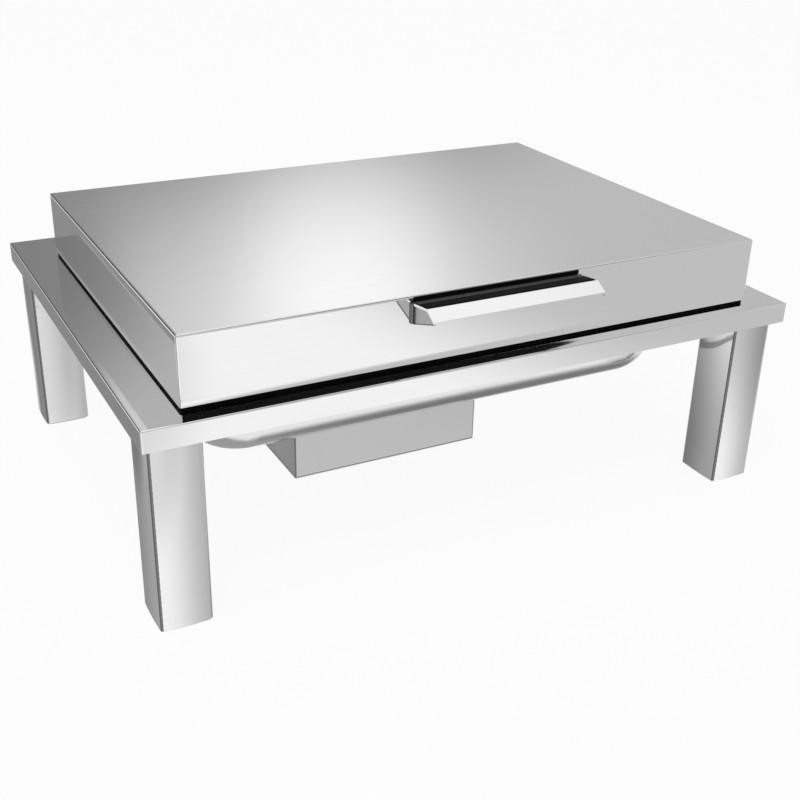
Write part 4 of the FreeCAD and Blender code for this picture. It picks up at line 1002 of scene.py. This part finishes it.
@dataclass
class Controls(SubAssembly):
    """The inlet, switch, lamp and thermostat on the heater's rear panel, with their marks.

    Attributes:
        ticks: marks round the dial.
        dial_sweep: degrees from the first mark to the last.
        dial_radius: where the marks start.
        tick_half: half a mark's width.
        tick_length: the first mark's length.
        tick_growth: how much longer the last one is.
        print_height: thickness of the ink.
        print_sink: how far the ink reaches into the panel, and the radius of its edges.
        pointer_half: half the pointer's width.
        pointer_run: its ends, from the knob's middle.
        pointer_depth: its bottom and top, below the knob's face.
        pointer_bevel: radius of its edges.
        ring: the lamp ring's section, as radius and height above the panel.
    """

    title: str = "controls"
    finishes: Finishes = (
        (PLASTIC, ("power_inlet", "switch_housing", "thermostat_body", "thermostat_knob")),
        (GLOSS_PLASTIC, ("switch_rocker",)),
        (RED_LENS, ("indicator_lamp",)),
        (MILL, ("thermostat_spindle",)),
        (ZINC, ("inlet_screws", "inlet_nuts", "inlet_pins", "switch_tabs", "thermostat_tabs")),
    )
    ticks: int = 10
    dial_sweep: float = 270.0
    dial_radius: float = 19.4 * MM
    tick_half: float = 0.35 * MM
    tick_length: float = 1.4 * MM
    tick_growth: float = 1.4 * MM
    print_height: float = 0.06 * MM
    print_sink: float = 0.02 * MM
    pointer_half: float = 0.7 * MM
    pointer_run: Pair = (5.8 * MM, 15.0 * MM)
    pointer_depth: Pair = (0.85 * MM, 0.55 * MM)
    pointer_bevel: float = 0.08 * MM
    ring: tuple[Pair, ...] = (
        (4.85 * MM, -0.02 * MM), (4.85 * MM, 1.0 * MM), (5.1 * MM, 1.3 * MM), (5.6 * MM, 1.25 * MM),
        (6.0 * MM, 0.9 * MM), (6.2 * MM, 0.3 * MM), (6.2 * MM, -0.02 * MM),
    )

    def middle(self, node: str) -> Vector:
        """Return the middle of a node's box."""
        low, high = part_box(node)
        return (Vector(low) + Vector(high)) / 2

    def on_panel(self, node: str, turn: Matrix) -> Matrix:
        """Return the place on the rear panel's face at a node's middle.

        Args:
            node: the node that stands there.
            turn: how what is placed there is turned.

        Returns:
            The place in the part's frame.
        """
        panel_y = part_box("heater_housing")[1][1]
        middle = self.middle(node)
        return Matrix.Translation((middle.x, panel_y, middle.z)) @ turn

    def dial(self) -> Piece:
        """Print the scale round the knob, which starts at its top and grows with the heat.

        Returns:
            The new piece.
        """
        build = bmesh.new()
        for index in range(self.ticks + 1):
            share = index / self.ticks
            turn = Matrix.Rotation(-math.radians(self.dial_sweep * share), 4, "Y")
            end = self.dial_radius + self.tick_length + self.tick_growth * share
            low = Vector((-self.tick_half, -self.print_sink, self.dial_radius))
            high = Vector((self.tick_half, self.print_height, end))
            bar(build, low, high, self.print_sink, self.on_panel("thermostat_knob", turn))
        return finish_mesh("dial_marks", build, DARK_INK, Body.WATER_PAN)

    def pointer(self) -> Piece:
        """Paint the knob's pointer groove.

        Returns:
            The new piece.
        """
        face_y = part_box("thermostat_knob")[1][1]
        knob = self.middle("thermostat_knob")
        start, end = self.pointer_run
        bottom, top = self.pointer_depth
        low = Vector((knob.x - self.pointer_half, face_y - bottom, knob.z + start))
        high = Vector((knob.x + self.pointer_half, face_y - top, knob.z + end))
        build = bmesh.new()
        bar(build, low, high, self.pointer_bevel)
        return finish_mesh("knob_pointer", build, INK, Body.KNOB)

    def bezel(self) -> Piece:
        """Set the rolled ring round the lamp.

        Returns:
            The new piece.
        """
        build = bmesh.new()
        turn = Matrix.Rotation(math.radians(-90), 4, "X")
        lathe(build, self.ring, self.on_panel("indicator_lamp", turn))
        return finish_mesh("lamp_bezel", build, ZINC, Body.WATER_PAN)

    def trim(self) -> list[Piece]:
        """Return the marks and the lamp's ring."""
        return [self.dial(), self.pointer(), self.bezel()]


DISH: tuple[SubAssembly, ...] = (Lid(), Handle(), Stand(), Pans(), Hinges(), Heater(), Controls())


# Studio

WHITE: Triple = (1.0, 1.0, 1.0)
# A ray's gloss depth is below this at its first mirroring and above it from the second on.
SECOND_MIRRORING = 1.5


class Seen(Enum):
    """Which reflections show a patch of the light tent."""

    ALWAYS = "always"
    ONCE = "once"
    TWICE = "twice"


@dataclass(frozen=True)
class Glow:
    """One soft patch of the light tent.

    Attributes:
        turn: degrees to the right of straight back.
        rise: degrees above level.
        level: brightness.
        inner: degrees within which the patch is full.
        outer: degrees beyond which it has faded.
        seen: whether it shows always, in first mirrorings only, or only where one face mirrors another.
    """

    turn: float
    rise: float
    level: float
    inner: float
    outer: float
    seen: Seen = Seen.ALWAYS

    def towards(self) -> Vector:
        """Return the patch's direction."""
        turn, rise = math.radians(self.turn), math.radians(self.rise)
        return Vector((math.sin(turn) * math.cos(rise), math.cos(turn) * math.cos(rise), math.sin(rise)))


@dataclass
class Studio:
    """A pale floor, a light tent that only gloss sees, one soft lamp, and the camera.

    Attributes:
        fill_level: brightness of the fill, where the backdrop that shows is 1.
        floor_reach: how far the floor runs each way, in metres.
        floor_tint: its colour where it takes light.
        floor_glow: share of white laid over it, which leaves the shadow faint.
        tent_level: brightness of the tent where no patch lies.
        tent_radius: how far off the tent hangs, in metres.
        tent_middle: where its middle lies.
        tent_steps: its faces round and from top to bottom.
        glows: the tent's patches, each laid over those before it.
        lamp_power: the soft lamp's power in watts.
        lamp_size: its width and height.
        lamp_place: where it hangs.
        lamp_target: what it points at.
        camera_place: where the camera stands.
        camera_target: what it points at.
        camera_roll: degrees it leans.
        focal_pixels: focal length in pixels of the picture.
        picture_pixels: width of the picture.
        sensor_width: width of the camera's sensor in millimetres.
        clip: nearest and farthest distance that the camera shows.
    """

    fill_level: float = 0.62
    floor_reach: float = 30.0
    floor_tint: Triple = (0.86, 0.86, 0.86)
    floor_glow: float = 0.93
    tent_level: float = 0.53
    tent_radius: float = 4.0
    tent_middle: Triple = (0.0, 0.0, 0.22)
    tent_steps: tuple[int, int] = (64, 32)
    glows: tuple[Glow, ...] = ()
    lamp_power: float = 14.0
    lamp_size: Pair = (1.6, 1.2)
    lamp_place: Triple = (-0.9, -0.9, 1.9)
    lamp_target: Triple = (0.0, 0.0, 0.1)
    camera_place: Triple = (-0.51146, -1.00179, 0.59492)
    camera_target: Triple = (-0.11897, -0.26374, 0.19043)
    camera_roll: float = 1.327
    focal_pixels: float = 1187.28
    picture_pixels: float = 800.0
    sensor_width: float = 36.0
    clip: Pair = (0.01, 100.0)

    def world(self) -> None:
        """Make the white backdrop and the plain fill."""
        world = bpy.data.worlds.new("studio_world")
        world.use_nodes = True
        bpy.context.scene.world = world
        graph = Graph(world.node_tree)
        light = graph.node("ShaderNodeBackground")
        graph.plug(WHITE, light.inputs[0])
        graph.plug(graph.ramp(graph.seen(), (0.0, 1.0), (self.fill_level, 1.0)), light.inputs[1])
        graph.finish(light.outputs[0], "ShaderNodeOutputWorld")

    def floor(self) -> None:
        """Lay the pale floor, which keeps the dish's soft shadow and is clear from below."""
        reach = self.floor_reach
        corners = [(-reach, -reach, 0), (reach, -reach, 0), (reach, reach, 0), (-reach, reach, 0)]
        mesh = bpy.data.meshes.new("studio_floor")
        mesh.from_pydata(corners, [], [(0, 1, 2, 3)])
        plane = add_object("studio_floor", mesh)
        material, graph = new_material("studio_floor")
        matt = graph.node("ShaderNodeBsdfDiffuse")
        graph.plug(self.floor_tint, matt.inputs[0])
        glow = graph.node("ShaderNodeEmission")
        clear = graph.node("ShaderNodeBsdfTransparent")
        share = graph.maths("MULTIPLY", graph.seen(), self.floor_glow)
        lit = graph.mix(Mixed.SHADERS, share, matt.outputs[0], glow.outputs[0])
        below = graph.node("ShaderNodeNewGeometry").outputs["Backfacing"]
        graph.finish(graph.mix(Mixed.SHADERS, below, lit, clear.outputs[0]))
        material.cycles.emission_sampling = "NONE"
        mesh.materials.append(material)
        plane.visible_glossy = False

    def only_for_gloss(self, card: Piece) -> None:
        """Let nothing but reflections see a card.

        Args:
            card: a backdrop.
        """
        for ray in ("camera", "diffuse", "transmission", "volume_scatter", "shadow"):
            setattr(card, f"visible_{ray}", False)

    def tent_light(self, graph: Graph) -> Socket:
        """Lay each patch over those before it.

        Args:
            graph: the tent's graph.

        Returns:
            The tent's brightness.
        """
        spot = graph.node("ShaderNodeVectorMath", operation="NORMALIZE")
        graph.plug(graph.places(), spot.inputs[0])
        depth = graph.node("ShaderNodeLightPath").outputs["Glossy Depth"]
        level: object = self.tent_level
        for glow in self.glows:
            dot = graph.node("ShaderNodeVectorMath", operation="DOT_PRODUCT")
            graph.plug(spot.outputs[0], dot.inputs[0])
            dot.inputs[1].default_value = glow.towards()
            edges = math.cos(math.radians(glow.outer)), math.cos(math.radians(glow.inner))
            share = graph.smooth(dot.outputs["Value"], edges)
            if glow.seen is not Seen.ALWAYS:
                compare = "GREATER_THAN" if glow.seen is Seen.TWICE else "LESS_THAN"
                share = graph.maths("MULTIPLY", share, graph.maths(compare, depth, SECOND_MIRRORING))
            level = graph.mix(Mixed.NUMBERS, share, level, glow.level)
        return level

    def tent(self) -> None:
        """Hang the light tent whose soft patches the steel mirrors."""
        build = bmesh.new()
        round_steps, rise_steps = self.tent_steps
        bmesh.ops.create_uvsphere(build, u_segments=round_steps, v_segments=rise_steps,
                                  radius=self.tent_radius)
        mesh = bpy.data.meshes.new("light_tent")
        build.to_mesh(mesh)
        build.free()
        card = add_object("light_tent", mesh)
        card.location = self.tent_middle
        material, graph = new_material("light_tent")
        light = graph.node("ShaderNodeEmission")
        graph.plug(self.tent_light(graph), light.inputs[1])
        graph.finish(light.outputs[0])
        material.cycles.emission_sampling = "NONE"
        mesh.materials.append(material)
        self.only_for_gloss(card)

    def lamp(self) -> None:
        """Hang the soft lamp that lights whatever isn't metal."""
        light = bpy.data.lights.new("soft_lamp", "AREA")
        light.shape = "RECTANGLE"
        light.size, light.size_y = self.lamp_size
        light.energy = self.lamp_power
        lamp = add_object("soft_lamp", light)
        lamp.location = self.lamp_place
        look = Vector(self.lamp_target) - Vector(self.lamp_place)
        lamp.rotation_euler = look.to_track_quat("-Z", "Y").to_euler()
        lamp.visible_glossy = False

    def camera(self) -> None:
        """Place the camera where the photograph was taken from."""
        data = bpy.data.cameras.new("camera")
        data.sensor_width = self.sensor_width
        data.lens = self.focal_pixels * self.sensor_width / self.picture_pixels
        data.clip_start, data.clip_end = self.clip
        camera = add_object("camera", data)
        place = Vector(self.camera_place)
        look = (Vector(self.camera_target) - place).normalized()
        right = look.cross(Vector((0, 0, 1))).normalized()
        above = right.cross(look)
        roll = math.radians(self.camera_roll)
        leaned = right * math.cos(roll) + above * math.sin(roll)
        upward = above * math.cos(roll) - right * math.sin(roll)
        camera.matrix_world = Matrix((
            (leaned.x, upward.x, -look.x, place.x),
            (leaned.y, upward.y, -look.y, place.y),
            (leaned.z, upward.z, -look.z, place.z),
            (0, 0, 0, 1),
        ))
        bpy.context.scene.camera = camera

    def build(self) -> None:
        """Make everything round the dish."""
        self.camera()
        self.world()
        self.floor()
        self.tent()
        self.lamp()
        bpy.context.scene.view_settings.view_transform = "Standard"


STUDIO = Studio(
    glows=(
        Glow(0.0, -90.0, 1.0, 84.0, 90.0),
        Glow(135.0, 20.0, 0.58, 40.0, 48.3),
        Glow(60.0, 80.0, 1.0, 20.0, 45.0),
        Glow(70.0, -62.0, 0.22, 8.0, 34.0),
        Glow(178.0, -23.0, 0.78, 6.0, 11.0),
        Glow(-85.0, -10.0, 0.35, 15.0, 38.0),
        Glow(-36.4, -61.2, 0.39, 29.7, 43.3),
        Glow(-15.2, -18.2, 0.28, 4.0, 8.0),
        Glow(-18.4, -25.4, 0.26, 3.5, 8.0),
        Glow(20.0, 0.0, 0.0, 10.0, 23.0),
        Glow(0.0, 20.0, 0.25, 8.0, 11.0),
        Glow(23.5, 26.0, 0.84, 0.6, 16.5),
        Glow(24.4, 22.6, 1.25, 2.9, 8.2),
        Glow(-8.0, 15.0, 0.22, 5.0, 16.0),
        Glow(130.0, 25.0, 0.63, 15.0, 25.0),
        Glow(175.6, 37.8, 0.008, 29.7, 30.3, Seen.TWICE),
        Glow(-25.0, 12.0, 0.06, 10.0, 18.0, Seen.ONCE),
        Glow(130.0, 53.0, 0.15, 13.0, 20.0, Seen.ONCE),
    ),
)


def main() -> None:
    """Build the studio and each part of the dish in turn."""
    logging.basicConfig(level=logging.INFO, format="%(message)s")
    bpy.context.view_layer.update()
    STUDIO.build()
    for part in DISH:
        part.build()


if __name__ == "__main__":
    main()
